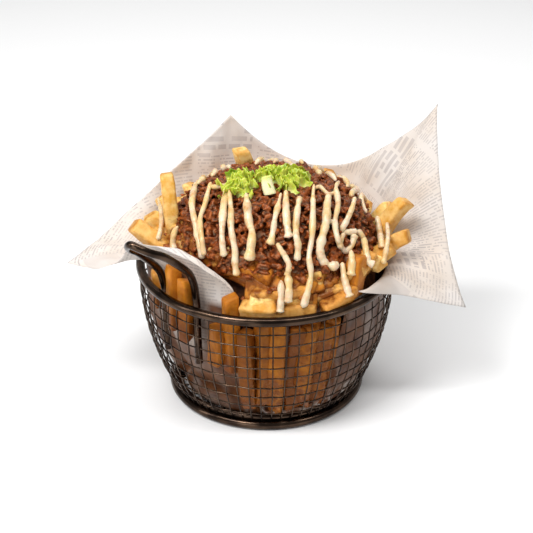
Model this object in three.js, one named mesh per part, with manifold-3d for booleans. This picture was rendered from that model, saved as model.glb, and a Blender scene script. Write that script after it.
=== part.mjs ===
// A serving of loaded fries in a small wire frying basket.
// The round basket has a thick rim and foot ring, a wall of thin uprights and hoops, a mesh floor and
// a handle bent from one wire. A sheet of printed paper lines it and stands out over the rim. The
// fries fill it and rise in a mound, with minced meat, ribbons of pale sauce and lettuce on top.
// Millimetres, +Z up. The origin is on the table, on the basket's axis. The handle points between
// -X and -Y, and the paper stays low inside the wall on the -Y side, where the fries meet the mesh.
import * as THREE from 'three';
import { mergeVertices } from 'three/addons/utils/BufferGeometryUtils.js';
import Module from 'manifold-3d';

const wasm = await Module();
wasm.setup();

// Basket
const RIM_OUTSIDE = 130;
const BASKET_HEIGHT = 72;
const FOOT_OUTSIDE = 100;
const HEAVY_WIRE = 4.6;
const HEM_WIRE = 2.6;
const MESH_WIRE = 1;
const HANDLE_WIRE = 3.8;
const WALL_FOOT_RADIUS = 48;
const WALL_BULGE = 4;
const UPRIGHTS = 64;
const HOOPS = 9;
const FLOOR_WIRES = 10;
const FLOOR_PITCH = 8.4;
const HANDLE_PLACE = 222.3;
const HANDLE_FACING = 229;
const HANDLE_LEG_REACH = 55;
const HANDLE_LEG_FOOT = 36;
const HANDLE_TILT = 0.2;
const GAP = 0.35;

// Paper
const PAPER = 0.8;
const PAPER_FLOOR = 5;
const NOTCH_DEPTH = 9.2;

// Food
const FRY = 7.6;
const MOUND_RADIUS = 57;
const MOUND_PEAK = 104;
const MEAT_CENTRE = [5, -6];
const MEAT_REACH = [48, 44];
const MEAT_THICKNESS = 9;
const MEAT_SHOULDER = { from: 26, run: 22, rise: 5 };
const CRUMBS = 34;
const SAUCE_WIDTH = 3.8;

const STEEL = { color: 0x5a4a42, roughness: 0.28, metalness: 1 };
const PAPER_WHITE = { color: 0xd9d3cf, roughness: 0.75, metalness: 0 };
const FRY_GOLD = { color: 0xe0a54e, roughness: 0.6, metalness: 0 };
const MEAT_BROWN = { color: 0x6b3418, roughness: 0.45, metalness: 0 };
const LETTUCE_GREEN = { color: 0x8fb83a, roughness: 0.5, metalness: 0 };
const STALK_CREAM = { color: 0xe6e2b0, roughness: 0.5, metalness: 0 };

const RIM_RADIUS = (RIM_OUTSIDE - HEAVY_WIRE) / 2;
const RIM_HEIGHT = BASKET_HEIGHT - HEAVY_WIRE / 2;
const FOOT_RADIUS = (FOOT_OUTSIDE - HEAVY_WIRE) / 2;
const FRONT = 270;

const part = new THREE.Group();

const mix = (a, b, t) => a + (b - a) * t;
const radians = (degrees) => (degrees * Math.PI) / 180;
const point = (x, y, z) => new THREE.Vector3(x, y, z);
const polar = (angle, radius, height) =>
  point(radius * Math.cos(angle), radius * Math.sin(angle), height);

function smooth(t) {
  const c = Math.min(1, Math.max(0, t));
  return c * c * (3 - 2 * c);
}

// A direction in degrees, from 0 to 360.
function compass(angle) {
  const degrees = (angle * 180) / Math.PI;
  return ((degrees % 360) + 360) % 360;
}

// A repeatable stream of numbers from 0 to 1.
function drawer(seed) {
  let state = seed;
  return () => {
    state = (state + 0x6d2b79f5) | 0;
    let t = Math.imul(state ^ (state >>> 15), 1 | state);
    t = (t + Math.imul(t ^ (t >>> 7), 61 | t)) ^ t;
    return ((t ^ (t >>> 14)) >>> 0) / 4294967296;
  };
}

// Solids

function solid(geometry) {
  const bare = geometry.clone();
  bare.deleteAttribute('normal');
  bare.deleteAttribute('uv');
  const merged = mergeVertices(bare, 1e-4);
  const mesh = new wasm.Mesh({
    numProp: 3,
    vertProperties: new Float32Array(merged.attributes.position.array),
    triVerts: new Uint32Array(merged.index.array),
  });
  return new wasm.Manifold(mesh);
}

const joined = (solids) => solids.reduce((whole, next) => whole.add(next));

// One body from solids that overlap, without loose scraps or hollows that fusing has sealed.
function fused(solids) {
  const shells = joined(solids).decompose();
  return shells.reduce((best, next) => (next.volume() > best.volume() ? next : best));
}

function indexed(points, faces) {
  const geometry = new THREE.BufferGeometry();
  const numbers = points.flatMap((p) => [p.x, p.y, p.z]);
  geometry.setAttribute('position', new THREE.Float32BufferAttribute(numbers, 3));
  geometry.setIndex(faces);
  return geometry;
}

function geometryOf(manifold) {
  const { vertProperties, triVerts, numProp } = manifold.getMesh();
  const points = [];
  for (let i = 0; i < vertProperties.length; i += numProp) {
    points.push(point(vertProperties[i], vertProperties[i + 1], vertProperties[i + 2]));
  }
  const geometry = indexed(points, Array.from(triVerts));
  geometry.computeVertexNormals();
  return geometry;
}

// A closed solid from rings of points round the axis, closed to one point below and one above.
function closedRings(bottom, rings, top) {
  const columns = rings[0].length;
  const points = [bottom, ...rings.flat(), top];
  const index = (ring, column) => 1 + ring * columns + (column % columns);
  const faces = [];
  for (let c = 0; c < columns; c++) {
    faces.push(0, index(0, c + 1), index(0, c));
    for (let r = 0; r + 1 < rings.length; r++) {
      faces.push(index(r, c), index(r, c + 1), index(r + 1, c + 1));
      faces.push(index(r, c), index(r + 1, c + 1), index(r + 1, c));
    }
    faces.push(points.length - 1, index(rings.length - 1, c), index(rings.length - 1, c + 1));
  }
  return indexed(points, faces);
}

function addPiece(name, geometry, finish) {
  const mesh = new THREE.Mesh(geometry, new THREE.MeshStandardMaterial(finish));
  mesh.name = name;
  part.add(mesh);
}

// Basket

// A ring of wire round the basket's axis. Its section is a polygon with one flat side facing `facing`.
function wireRing(radius, height, thickness, sides, segments, facing) {
  const corner = thickness / 2 / Math.cos(Math.PI / sides);
  const profile = [];
  for (let i = 0; i <= sides; i++) {
    const a = facing + ((i % sides) + 0.5) * ((2 * Math.PI) / sides);
    profile.push(new THREE.Vector2(radius + corner * Math.cos(a), corner * Math.sin(a)));
  }
  const geometry = new THREE.LatheGeometry(profile, segments);
  geometry.rotateX(Math.PI / 2);
  geometry.translate(0, 0, height);
  return geometry;
}

const DOWN = -Math.PI / 2;
const INWARD = Math.PI;
const HEAVY_SEGMENTS = UPRIGHTS / 2;
const RIM_INSIDE = (RIM_RADIUS - HEAVY_WIRE / 2) * Math.cos(Math.PI / HEAVY_SEGMENTS);

// The wall leans out and bulges between the foot ring and the rim.
function wallRadius(height) {
  const t = (height - HEAVY_WIRE) / (BASKET_HEIGHT - 2 * HEAVY_WIRE);
  const bulge = 4 * WALL_BULGE * Math.max(0, t * (1 - t));
  return mix(WALL_FOOT_RADIUS, RIM_RADIUS, t) + bulge;
}

// One upright of square wire, bent to the bulge of the wall, with its ends inside the rim and foot ring.
function upright() {
  const low = 0.75 * HEAVY_WIRE;
  const high = BASKET_HEIGHT - low;
  const half = MESH_WIRE / 2;
  const rings = [0, 0.2, 0.5, 0.8, 1].map((share) => {
    const height = mix(low, high, share);
    const reach = wallRadius(height);
    return [[-1, -1], [1, -1], [1, 1], [-1, 1]].map(([x, y]) => point(reach + x * half, y * half, height));
  });
  return closedRings(point(wallRadius(low), 0, low), rings, point(wallRadius(high), 0, high));
}

// The rim and the foot ring, with the uprights welded into both.
function basketFrame() {
  const wires = [
    solid(wireRing(RIM_RADIUS, RIM_HEIGHT, HEAVY_WIRE, 8, HEAVY_SEGMENTS, DOWN)),
    solid(wireRing(FOOT_RADIUS, HEAVY_WIRE / 2, HEAVY_WIRE, 8, HEAVY_SEGMENTS, DOWN)),
  ];
  for (let i = 0; i < UPRIGHTS; i++) {
    wires.push(solid(upright().rotateZ(((i + 0.5) * 2 * Math.PI) / UPRIGHTS)));
  }
  return geometryOf(joined(wires));
}

function hoop(height) {
  return wireRing(wallRadius(height) + 1.8 * MESH_WIRE, height, MESH_WIRE, 3, HEAVY_SEGMENTS, INWARD);
}

// The ring at the foot of the mesh, inside the uprights.
function hemRing() {
  const height = HEAVY_WIRE + GAP + HEM_WIRE / 2;
  const radius = wallRadius(height) - MESH_WIRE / 2 - GAP - HEM_WIRE / 2;
  return wireRing(radius, height, HEM_WIRE, 6, HEAVY_SEGMENTS, DOWN);
}

const HEM_INSIDE = wallRadius(HEAVY_WIRE) - MESH_WIRE / 2 - GAP - HEM_WIRE;

// Two layers of straight wires that cross, with their ends in a flat hoop.
function floorMesh() {
  const outer = (FOOT_RADIUS - HEAVY_WIRE / 2) * Math.cos(Math.PI / HEAVY_SEGMENTS) - GAP - MESH_WIRE / 2;
  const level = HEAVY_WIRE / 2;
  const half = [MESH_WIRE / 2, MESH_WIRE * 1.2];
  const corners = [[-1, -1], [1, -1], [1, 1], [-1, 1], [-1, -1]];
  const profile = corners.map(([x, y]) => new THREE.Vector2(outer + x * half[0], level + y * half[1]));
  const edge = new THREE.LatheGeometry(profile, HEAVY_SEGMENTS);
  edge.rotateX(Math.PI / 2);
  const wires = [solid(edge)];
  for (let i = 0; i < FLOOR_WIRES; i++) {
    const across = (i - (FLOOR_WIRES - 1) / 2) * FLOOR_PITCH;
    const length = 2 * Math.sqrt(outer * outer - across * across);
    const upper = new THREE.BoxGeometry(length, MESH_WIRE, MESH_WIRE);
    upper.translate(0, across, level + 0.6 * MESH_WIRE);
    const lower = new THREE.BoxGeometry(MESH_WIRE, length, MESH_WIRE);
    lower.translate(across, 0, level - 0.6 * MESH_WIRE);
    wires.push(solid(upper), solid(lower));
  }
  return geometryOf(joined(wires));
}

// One side of the handle's loop, from the foot of its leg to the tip: how far out from the leg's foot,
// height, and half the loop's width. The leg runs down inside the mesh.
const HANDLE_SIDE = [
  [-0.6, HANDLE_LEG_FOOT, 10.4],
  [0, 52, 10.4],
  [0.2, 67.5, 10.4],
  [0.6, 72, 10.5],
  [2, 79, 10.8],
  [4.6, 84.5, 10.8],
  [8, 88.5, 10.6],
  [13, 93.5, 10],
  [19, 99, 8.8],
  [25, 103, 6.6],
  [28.8, 106.3, 3.8],
];
const HANDLE_TIP = [30.5, 108.3, 0];

function handleWire() {
  const onSide = (side) => ([out, height, half]) => {
    const tilt = side * half * HANDLE_TILT * smooth((height - BASKET_HEIGHT) / 16);
    return point(out, side * half, height + tilt);
  };
  const route = [
    ...HANDLE_SIDE.map(onSide(1)),
    onSide(1)(HANDLE_TIP),
    ...HANDLE_SIDE.map(onSide(-1)).reverse(),
  ];
  const curve = new THREE.CatmullRomCurve3(route, false, 'centripetal');
  const section = new THREE.Shape();
  section.absarc(0, 0, HANDLE_WIRE / 2, 0, 2 * Math.PI);
  const geometry = new THREE.ExtrudeGeometry(section, { steps: 38, curveSegments: 3, extrudePath: curve });
  const foot = polar(radians(HANDLE_PLACE), HANDLE_LEG_REACH, 0);
  return geometry.rotateZ(radians(HANDLE_FACING)).translate(foot.x, foot.y, 0);
}

// Paper

// How far the paper is pushed in beside the handle, where some fries stand between it and the wall.
function notch(angle) {
  const degrees = compass(angle);
  return NOTCH_DEPTH * smooth((degrees - 180) / 12) * smooth((272 - degrees) / 12);
}

// The paper's outer face where it stands against the wall.
function paperRadius(angle, height) {
  const room = Math.min(wallRadius(height) - MESH_WIRE / 2, RIM_INSIDE);
  return room - GAP - 0.3 - notch(angle);
}

const onWall = (degrees, height) =>
  polar(radians(degrees), paperRadius(radians(degrees), height), height);
const at = (degrees, reach, height) => polar(radians(degrees), reach, height);

// The sheet's free edge, from the left corner round the back to the right and along the front, with
// the number of steps to the next point and how far the edge between them sags.
const PAPER_EDGE = [
  { to: point(-98.4, -6, 70), steps: 6, sag: [-4, 5, -7] },
  { to: point(-18.5, 66.5, 119), steps: 9, sag: [0, 6, -34] },
  { to: point(85.5, 42, 135.5), steps: 6, sag: [-3, 0, -7] },
  { to: point(96.6, -28.5, 58), steps: 2, sag: [0, -2, 1] },
  { to: at(-25.3, 71.3, 66), steps: 1 },
  { to: at(-36.5, 66.5, 71.6), steps: 1 },
  { to: at(-43.5, 63.5, 74.5), steps: 1 },
  { to: at(-47.5, 58.6, 75.5), steps: 1 },
  { to: onWall(-51.5, 66), steps: 1 },
  { to: onWall(-57, 16), steps: 1 },
  { to: onWall(-69, 13), steps: 1 },
  { to: onWall(-84, 12), steps: 1 },
  { to: onWall(-98, 13), steps: 1 },
  { to: onWall(-102.5, 62), steps: 1 },
  { to: at(-107, 51, 77), steps: 1 },
  { to: at(-112, 52.5, 83), steps: 1 },
  { to: at(-118, 56.5, 88.5), steps: 1 },
  { to: at(-125, 58, 92.5), steps: 2 },
  { to: at(-145, 62, 95), steps: 2 },
  { to: at(-162, 68, 90), steps: 1 },
  { to: at(-166, 74, 77), steps: 1 },
  { to: at(-169, 84, 71), steps: 1 },
];

function paperEdge() {
  const columns = [];
  PAPER_EDGE.forEach(({ to, steps, sag = [0, 0, 0] }, i) => {
    const next = PAPER_EDGE[(i + 1) % PAPER_EDGE.length].to;
    for (let k = 0; k < steps; k++) {
      const t = k / steps;
      columns.push(to.clone().lerp(next, t).addScaledVector(point(...sag), 4 * t * (1 - t)));
    }
  });
  return columns.reverse();
}

// The free part of the sheet in one direction, from where it leaves the wall to its edge. It hangs
// out over the rim, or stands up and curls out at its edge, or stays low inside the basket.
function freeCurve(start, end) {
  const low = new THREE.Vector2((start.x + end.x) / 2, (start.y + end.y) / 2);
  const standing = new THREE.Vector2(start.x, end.y + 5);
  const climb = Math.max(9, 0.42 * (end.y - start.y));
  const hanging = new THREE.Vector2(start.x + 2.5 + 0.06 * (end.x - start.x), start.y + climb);
  const bend = low
    .lerp(standing, smooth((end.y - RIM_HEIGHT) / 10))
    .lerp(hanging, smooth((end.x - 59) / 9));
  return new THREE.QuadraticBezierCurve(start, bend, end);
}

// One column of the sheet's outer face: out over the floor, up the wall and on to the free edge.
function paperColumn(edge) {
  const angle = Math.atan2(edge.y, edge.x);
  const reach = Math.hypot(edge.x, edge.y);
  const overRim = Math.max(smooth((reach - 61) / 3), smooth((edge.z - 66) / 6));
  const leaves = mix(mix(PAPER_FLOOR + 5, edge.z, 0.6), BASKET_HEIGHT - 1.5, overRim);
  const corner = HEM_INSIDE - GAP - 0.5;
  const turn = PAPER_FLOOR + HEM_WIRE + 1;
  const column = [
    [corner * 0.5, PAPER_FLOOR],
    [corner - 2.5, PAPER_FLOOR],
    [corner, PAPER_FLOOR + 2.4],
  ];
  for (let k = 0; k < 3; k++) {
    const height = mix(turn + 1.5, leaves, k / 2);
    column.push([paperRadius(angle, height) - (k === 0 ? 1.2 : 0), height]);
  }
  const start = new THREE.Vector2(paperRadius(angle, leaves), leaves);
  const free = freeCurve(start, new THREE.Vector2(reach, edge.z));
  for (const t of [0.12, 0.28, 0.48, 0.74, 1]) {
    const next = free.getPoint(t);
    column.push([next.x, next.y]);
  }
  return column.map(([radius, height]) => polar(angle, radius, height));
}

// A thin sheet from columns of points that fan out from a middle point, with its thickness inside.
function thickSheet(middle, columns, thickness) {
  const count = columns.length;
  const rows = columns[0].length;
  const column = (i) => columns[(i + count) % count];
  const normalAt = (i, j) => {
    const across = column(i + 1)[j].clone().sub(column(i - 1)[j]);
    const below = j > 0 ? column(i)[j - 1] : middle;
    const above = column(i)[Math.min(j + 1, rows - 1)];
    return across.cross(above.clone().sub(below)).normalize();
  };
  const outer = [middle];
  const inner = [middle.clone().add(point(0, 0, thickness))];
  for (let i = 0; i < count; i++) {
    for (let j = 0; j < rows; j++) {
      outer.push(column(i)[j]);
      inner.push(column(i)[j].clone().addScaledVector(normalAt(i, j), -thickness));
    }
  }
  const spot = (i, j) => 1 + (i % count) * rows + j;
  const inside = outer.length;
  const faces = [];
  const both = (a, b, c) => faces.push(a, c, b, inside + a, inside + b, inside + c);
  for (let i = 0; i < count; i++) {
    both(0, spot(i, 0), spot(i + 1, 0));
    for (let j = 0; j + 1 < rows; j++) {
      both(spot(i, j), spot(i, j + 1), spot(i + 1, j + 1));
      both(spot(i, j), spot(i + 1, j + 1), spot(i + 1, j));
    }
    const [a, b] = [spot(i, rows - 1), spot(i + 1, rows - 1)];
    faces.push(a, b, a + inside, b, b + inside, a + inside);
  }
  return indexed([...outer, ...inner], faces);
}

function paperSheet() {
  return thickSheet(point(0, 0, PAPER_FLOOR), paperEdge().map(paperColumn), PAPER);
}

// Fries

// Height of the bare mound of fries over a point of the plan.
function moundHeight(x, y) {
  const r = Math.min(1, Math.hypot(x, y) / MOUND_RADIUS);
  return mix(MOUND_PEAK, BASKET_HEIGHT - 4, 0.15 * r ** 2 + 0.85 * r ** 4);
}

// A solid filling the paper, up to the mound's bare surface.
function friesCore() {
  const columns = 32;
  const shoulder = RIM_HEIGHT - 4;
  const reach = (angle, height) => {
    const nearby = [-6, 0, 6].map((degrees) => paperRadius(angle + radians(degrees), height));
    return Math.min(...nearby) - PAPER - GAP - 3.6;
  };
  const around = (place) =>
    Array.from({ length: columns }, (_, c) => place((c * 2 * Math.PI) / columns));
  const floor = PAPER_FLOOR + PAPER + GAP;
  const rings = [
    around((angle) => polar(angle, HEM_INSIDE - 8, floor)),
    ...[14, 40, shoulder].map((height) => around((angle) => polar(angle, reach(angle, height), height))),
    ...[0.84, 0.62, 0.34].map((share) =>
      around((angle) => {
        const radius = share * reach(angle, shoulder);
        return polar(angle, radius, moundHeight(radius, 0));
      }),
    ),
  ];
  return solid(closedRings(point(0, 0, floor), rings, point(0, 0, MOUND_PEAK)));
}

// A cut potato stick from one point to another, slimmer at its ends.
function fry(from, to, bend = 1, turn = 0) {
  const along = to.clone().sub(from);
  const length = along.length();
  const geometry = new THREE.BoxGeometry(FRY, FRY, length, 1, 1, bend ? 3 : 1);
  const position = geometry.attributes.position;
  for (let i = 0; i < position.count; i++) {
    const t = (2 * position.getZ(i)) / length;
    const slim = 1 - 0.12 * t * t;
    position.setX(i, position.getX(i) * slim + bend * (1 - t * t));
    position.setY(i, position.getY(i) * slim);
  }
  geometry.rotateZ(turn);
  const lie = new THREE.Quaternion().setFromUnitVectors(point(0, 0, 1), along.normalize());
  geometry.applyQuaternion(lie);
  geometry.translate((from.x + to.x) / 2, (from.y + to.y) / 2, (from.z + to.z) / 2);
  return geometry;
}

// The fries that show above the rim, each from its buried end to its free one.
const SHOWN_FRIES = [
  [point(-44, -8, 72), point(-48, -4, 118)],
  [point(-42, -16, 78), point(-64.5, -11, 94)],
  [point(-40, 6, 74), point(-58, 2, 92)],
  [point(-10, 30, 78), point(-13, 27, 117)],
  [point(24, 38, 76), point(33, 40, 99)],
  [point(42, 24, 74), point(51, 22, 89)],
  [point(48, 9, 74), point(62, 7, 95)],
  [point(50.5, 0, 70), point(68.5, 1, 101)],
  [point(49, -8, 74), point(69, -13, 89)],
  [point(44, -17, 75), point(60, -20, 87)],
  [point(44, -12, 76), point(54, -30, 82)],
  [point(26, -38, 73), point(46, -36, 86)],
  [point(16, -49, 73), point(36.5, -41.5, 78)],
  [point(-8, -52, 75), point(21, -50, 76)],
  [point(-2, -46, 81), point(26, -44, 83)],
  [point(-8, -42, 74), point(15, -54, 71)],
  [point(-34, 36, 72), point(-40, 42, 91)],
  [point(-42, 22, 74), point(-54, 28, 90)],
  [point(6, 44, 74), point(-4, 52, 92)],
  [point(26, 40, 74), point(42, 38, 90)],
  [point(-30, 20, 91), point(-4, 38, 90)],
  [point(2, 36, 92), point(28, 30, 91)],
  [point(-36, 4, 92), point(-24, 28, 97)],
  [point(30, 30, 88), point(46, 14, 89)],
];

// Fries that stand against the mesh where the paper stays low, and show through it.
function wallFries() {
  const draw = drawer(11);
  const seat = (angle, height) =>
    polar(angle, Math.min(wallRadius(height) - MESH_WIRE / 2, RIM_INSIDE) - GAP - 0.15 - FRY / 2, height);
  const fries = [];
  for (let degrees = FRONT - 3; degrees < FRONT + 32; degrees += 8) {
    const foot = mix(21, 24, draw());
    const head = mix(60, 65, draw());
    const angle = radians(degrees);
    fries.push(fry(seat(angle, foot), seat(angle + radians(3 * (draw() - 0.5)), head), 0, angle));
  }
  return fries;
}

// Fries that stand between the pushed-in paper and the wall beside the handle.
const HANDLE_FRIES = [
  { degrees: 200.5, foot: 54, head: 73 },
  { degrees: 218.4, foot: 50, head: 84 },
  { degrees: 227, foot: 48, head: 80 },
  { degrees: 252.4, foot: 36, head: 78 },
];

function handleFry({ degrees, foot, head }) {
  const seat = (height) =>
    at(degrees, Math.min(wallRadius(height) - MESH_WIRE / 2, RIM_INSIDE) - GAP - 0.2 - FRY / 2, height);
  return fry(seat(foot), seat(head), 0, radians(degrees));
}

// Minced meat, with the ribbons of sauce that lie on it

// Share of the way from the meat's centre to its edge.
const fromMeatCentre = (x, y) =>
  Math.hypot((x - MEAT_CENTRE[0]) / MEAT_REACH[0], (y - MEAT_CENTRE[1]) / MEAT_REACH[1]);

// Height of the meat's surface, which thins towards its edge and is piled up on the right.
function meatHeight(x, y) {
  const thickness = MEAT_THICKNESS * Math.sqrt(Math.max(0.05, 1 - 0.9 * fromMeatCentre(x, y) ** 2));
  const shoulder = MEAT_SHOULDER.rise * smooth((x - MEAT_SHOULDER.from) / MEAT_SHOULDER.run);
  return moundHeight(x, y) + 1.2 + thickness + shoulder;
}

// The point of the plan in a direction from the meat's centre, at a share of the way to its edge.
function meatSpot(angle, share, room = 0) {
  return [
    MEAT_CENTRE[0] + (MEAT_REACH[0] * share + room) * Math.cos(angle),
    MEAT_CENTRE[1] + (MEAT_REACH[1] * share + room) * Math.sin(angle),
  ];
}

// The bed of meat over the mound, made larger by `room` where other pieces have to clear it.
function meatBed(room = 0) {
  const columns = 30;
  const draw = drawer(5);
  const reach = Array.from({ length: columns }, () => mix(0.9, 1.04, draw()));
  const ring = (share, height) =>
    reach.map((r, c) => {
      const [x, y] = meatSpot((c * 2 * Math.PI) / columns, r * share, room * share);
      return point(x, y, height(x, y));
    });
  const under = (x, y) => moundHeight(x, y) + 0.9 - room;
  const over = (x, y) => meatHeight(x, y) + room;
  const shares = [1, 0.8, 0.55, 0.28];
  const rings = [...shares].reverse().map((share) => ring(share, under));
  rings.push(...shares.map((share) => ring(share, over)));
  const centre = MEAT_CENTRE;
  return closedRings(point(...centre, under(...centre)), rings, point(...centre, over(...centre)));
}

// Distance from a point to the nearest fry that stands up out of the mound.
function fromFries(p) {
  const nearest = new THREE.Vector3();
  const distances = SHOWN_FRIES.map(([a, b]) =>
    new THREE.Line3(a, b).closestPointToPoint(p, true, nearest).distanceTo(p),
  );
  return Math.min(...distances);
}

function meatCrumbs() {
  const draw = drawer(23);
  const crumbs = [];
  for (let i = 0; i < CRUMBS; i++) {
    const [x, y] = meatSpot(i * Math.PI * (3 - Math.sqrt(5)), 0.98 * Math.sqrt((i + 0.5) / CRUMBS));
    const size = mix(3.4, 5.6, draw());
    const crumb = new THREE.IcosahedronGeometry(size, 0);
    crumb.scale(1, mix(0.7, 1.1, draw()), mix(0.6, 0.9, draw()));
    crumb.rotateZ(draw() * Math.PI);
    const centre = point(x, y, meatHeight(x, y));
    crumb.translate(centre.x, centre.y, centre.z);
    const underLettuce = LETTUCE.some((heap) => insideHeap(heap, x, y, size));
    const byStalk = Math.hypot(x - STALK.x, y - STALK.y) < STALK.width + size;
    if (!underLettuce && !byStalk && fromFries(centre) > FRY * 0.75 + size) crumbs.push(crumb);
  }
  return crumbs;
}

// Ribbons of sauce from the back of the meat to the front, each at its own X.
const SAUCE_RIBBONS = [
  [-32, 10, -30], [-26.5, 6, -38], [-16, -23, -38], [-7, -20, -44], [3, -25, -36],
  [12, -18, -40], [20, -15, -45], [29, 0, -36], [36, 6, -34], [43, 6, -24],
];

function sauceRibbon([x, back, front]) {
  const route = [];
  const steps = 5;
  for (let k = 0; k <= steps; k++) {
    const y = mix(back, front, k / steps);
    const sway = x + 1.3 * Math.sin(y / 5 + x);
    route.push(point(sway, y, meatHeight(sway, y) + 0.8));
  }
  const section = new THREE.Shape();
  section.absarc(0, 0, SAUCE_WIDTH / 2, 0, 2 * Math.PI);
  const curve = new THREE.CatmullRomCurve3(route, false, 'centripetal');
  return new THREE.ExtrudeGeometry(section, { steps: 6, curveSegments: 2, extrudePath: curve });
}

// Lettuce

// Two heaps of shredded lettuce on the meat, and a cut piece of stalk in front of the larger one.
const LETTUCE = [
  { name: 'lettuce_left', x: -14, y: -6.5, wide: 6, deep: 11, shreds: 5, seed: 3 },
  { name: 'lettuce_right', x: 6.5, y: -1, wide: 13, deep: 10, shreds: 8, seed: 8 },
];
const LETTUCE_LIFT = 1.2;
const LETTUCE_HEIGHT = 5.5;
const SHRED = { width: 3.4, thickness: 1.1, curl: 1.2 };

// Whether a point of the plan is under a heap of lettuce, or closer to it than the room given.
function insideHeap({ x, y, wide, deep }, px, py, room) {
  return Math.hypot((px - x) / (wide + room), (py - y) / (deep + room)) < 1.1;
}

function lettuceHeap({ x, y, wide, deep, shreds, seed }) {
  const draw = drawer(seed);
  const columns = 11;
  const spotAt = (angle, share, lift) => {
    const px = x + wide * share * Math.cos(angle);
    const py = y + deep * share * Math.sin(angle);
    return point(px, py, meatHeight(px, py) + lift);
  };
  const ring = (share, lift) =>
    Array.from({ length: columns }, (_, c) => {
      const angle = (c * 2 * Math.PI) / columns;
      return spotAt(angle, share * (1 + 0.12 * Math.sin(3 * angle + seed)), lift);
    });
  const rings = [
    ring(0.85, LETTUCE_LIFT),
    ring(0.95, LETTUCE_HEIGHT * 0.45),
    ring(0.55, LETTUCE_HEIGHT * 0.85),
  ];
  const base = closedRings(spotAt(0, 0, LETTUCE_LIFT), rings, spotAt(0, 0, LETTUCE_HEIGHT));
  const strips = [];
  for (let i = 0; i < shreds; i++) {
    const strip = new THREE.BoxGeometry(mix(9, 13, draw()), SHRED.width, SHRED.thickness, 3, 1, 1);
    const position = strip.attributes.position;
    for (let k = 0; k < position.count; k++) {
      position.setZ(k, position.getZ(k) + SHRED.curl * Math.cos(position.getX(k) * 0.5));
    }
    strip.rotateX(1.6 * (draw() - 0.5));
    strip.rotateZ(draw() * Math.PI);
    const spot = spotAt((i * 2 * Math.PI) / shreds, 0.45, LETTUCE_HEIGHT * 0.85);
    strip.translate(spot.x, spot.y, spot.z);
    strips.push(solid(strip));
  }
  return fused([solid(base), ...strips]);
}

const STALK = { x: 0.5, y: -16.5, width: 6, length: 9, thickness: 3, lean: -20, lift: 4.7 };

function stalkPiece() {
  const { x, y, width, length, thickness, lean, lift } = STALK;
  const geometry = new THREE.CylinderGeometry(width / 2, width / 2, length, 8, 1);
  geometry.scale(1, 1, thickness / width);
  geometry.rotateX(radians(lean));
  geometry.translate(x, y, meatHeight(x, y) + lift);
  return geometry;
}

addPiece('basket_frame', basketFrame(), STEEL);
for (let i = 1; i <= HOOPS; i++) {
  const height = mix(HEAVY_WIRE, BASKET_HEIGHT - HEAVY_WIRE, i / (HOOPS + 0.7));
  addPiece(`basket_hoop_${i}`, hoop(height), STEEL);
}
addPiece('basket_hem', hemRing(), STEEL);
addPiece('basket_floor', floorMesh(), STEEL);
addPiece('basket_handle', handleWire(), STEEL);
addPiece('paper_liner', paperSheet(), PAPER_WHITE);

const meatRoom = solid(meatBed(1.5 * GAP));
const heap = joined([friesCore(), ...SHOWN_FRIES.map(([from, to]) => solid(fry(from, to)))]);
addPiece('fries', geometryOf(fused([heap.subtract(meatRoom), ...wallFries().map(solid)])), FRY_GOLD);
HANDLE_FRIES.forEach((stick, i) => addPiece(`fry_by_handle_${i + 1}`, handleFry(stick), FRY_GOLD));

const toppings = [meatBed(), ...meatCrumbs(), ...SAUCE_RIBBONS.map(sauceRibbon)];
addPiece('minced_meat', geometryOf(fused(toppings.map(solid))), MEAT_BROWN);
for (const heapOfLeaf of LETTUCE) {
  addPiece(heapOfLeaf.name, geometryOf(lettuceHeap(heapOfLeaf)), LETTUCE_GREEN);
}
addPiece('lettuce_stalk', stalkPiece(), STALK_CREAM);

export default part;
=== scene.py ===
import math
import random

import bmesh
import bpy
from mathutils import Matrix, Vector, noise
from mathutils.bvhtree import BVHTree


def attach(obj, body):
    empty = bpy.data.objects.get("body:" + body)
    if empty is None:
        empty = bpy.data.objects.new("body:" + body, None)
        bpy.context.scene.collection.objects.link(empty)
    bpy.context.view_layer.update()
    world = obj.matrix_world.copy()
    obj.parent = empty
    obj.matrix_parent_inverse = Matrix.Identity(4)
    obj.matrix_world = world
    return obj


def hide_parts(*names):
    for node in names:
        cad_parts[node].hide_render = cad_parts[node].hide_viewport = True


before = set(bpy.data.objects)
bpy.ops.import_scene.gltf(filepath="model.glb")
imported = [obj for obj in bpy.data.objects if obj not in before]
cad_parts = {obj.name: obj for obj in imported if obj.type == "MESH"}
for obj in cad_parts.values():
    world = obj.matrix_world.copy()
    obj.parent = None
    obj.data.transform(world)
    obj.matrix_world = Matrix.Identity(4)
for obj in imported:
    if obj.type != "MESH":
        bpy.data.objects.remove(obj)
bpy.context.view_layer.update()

# Vector noise starts anywhere unless it is given a seed
noise.seed_set(5)

MM = 0.001

# Basket
RIM_OUTSIDE = 130
BASKET_HEIGHT = 72
FOOT_OUTSIDE = 100
HEAVY_WIRE = 4.6
HEM_WIRE = 2.6
MESH_WIRE = 1
DRAWN_MESH_WIRE = 0.72
CRIMP = 0.2
MESH_OUT = 0.4
HANDLE_WIRE = 3.8
WALL_FOOT_RADIUS = 48
WALL_BULGE = 4
UPRIGHTS = 64
HOOPS = 9
FLOOR_WIRES = 10
FLOOR_PITCH = 8.4
FLOOR_EDGE_WIRE = 1.3
HANDLE_PLACE = 222.3
HANDLE_FACING = 229
HANDLE_LEG_REACH = 55
HANDLE_TILT = 0.2
GAP = 0.35

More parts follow.
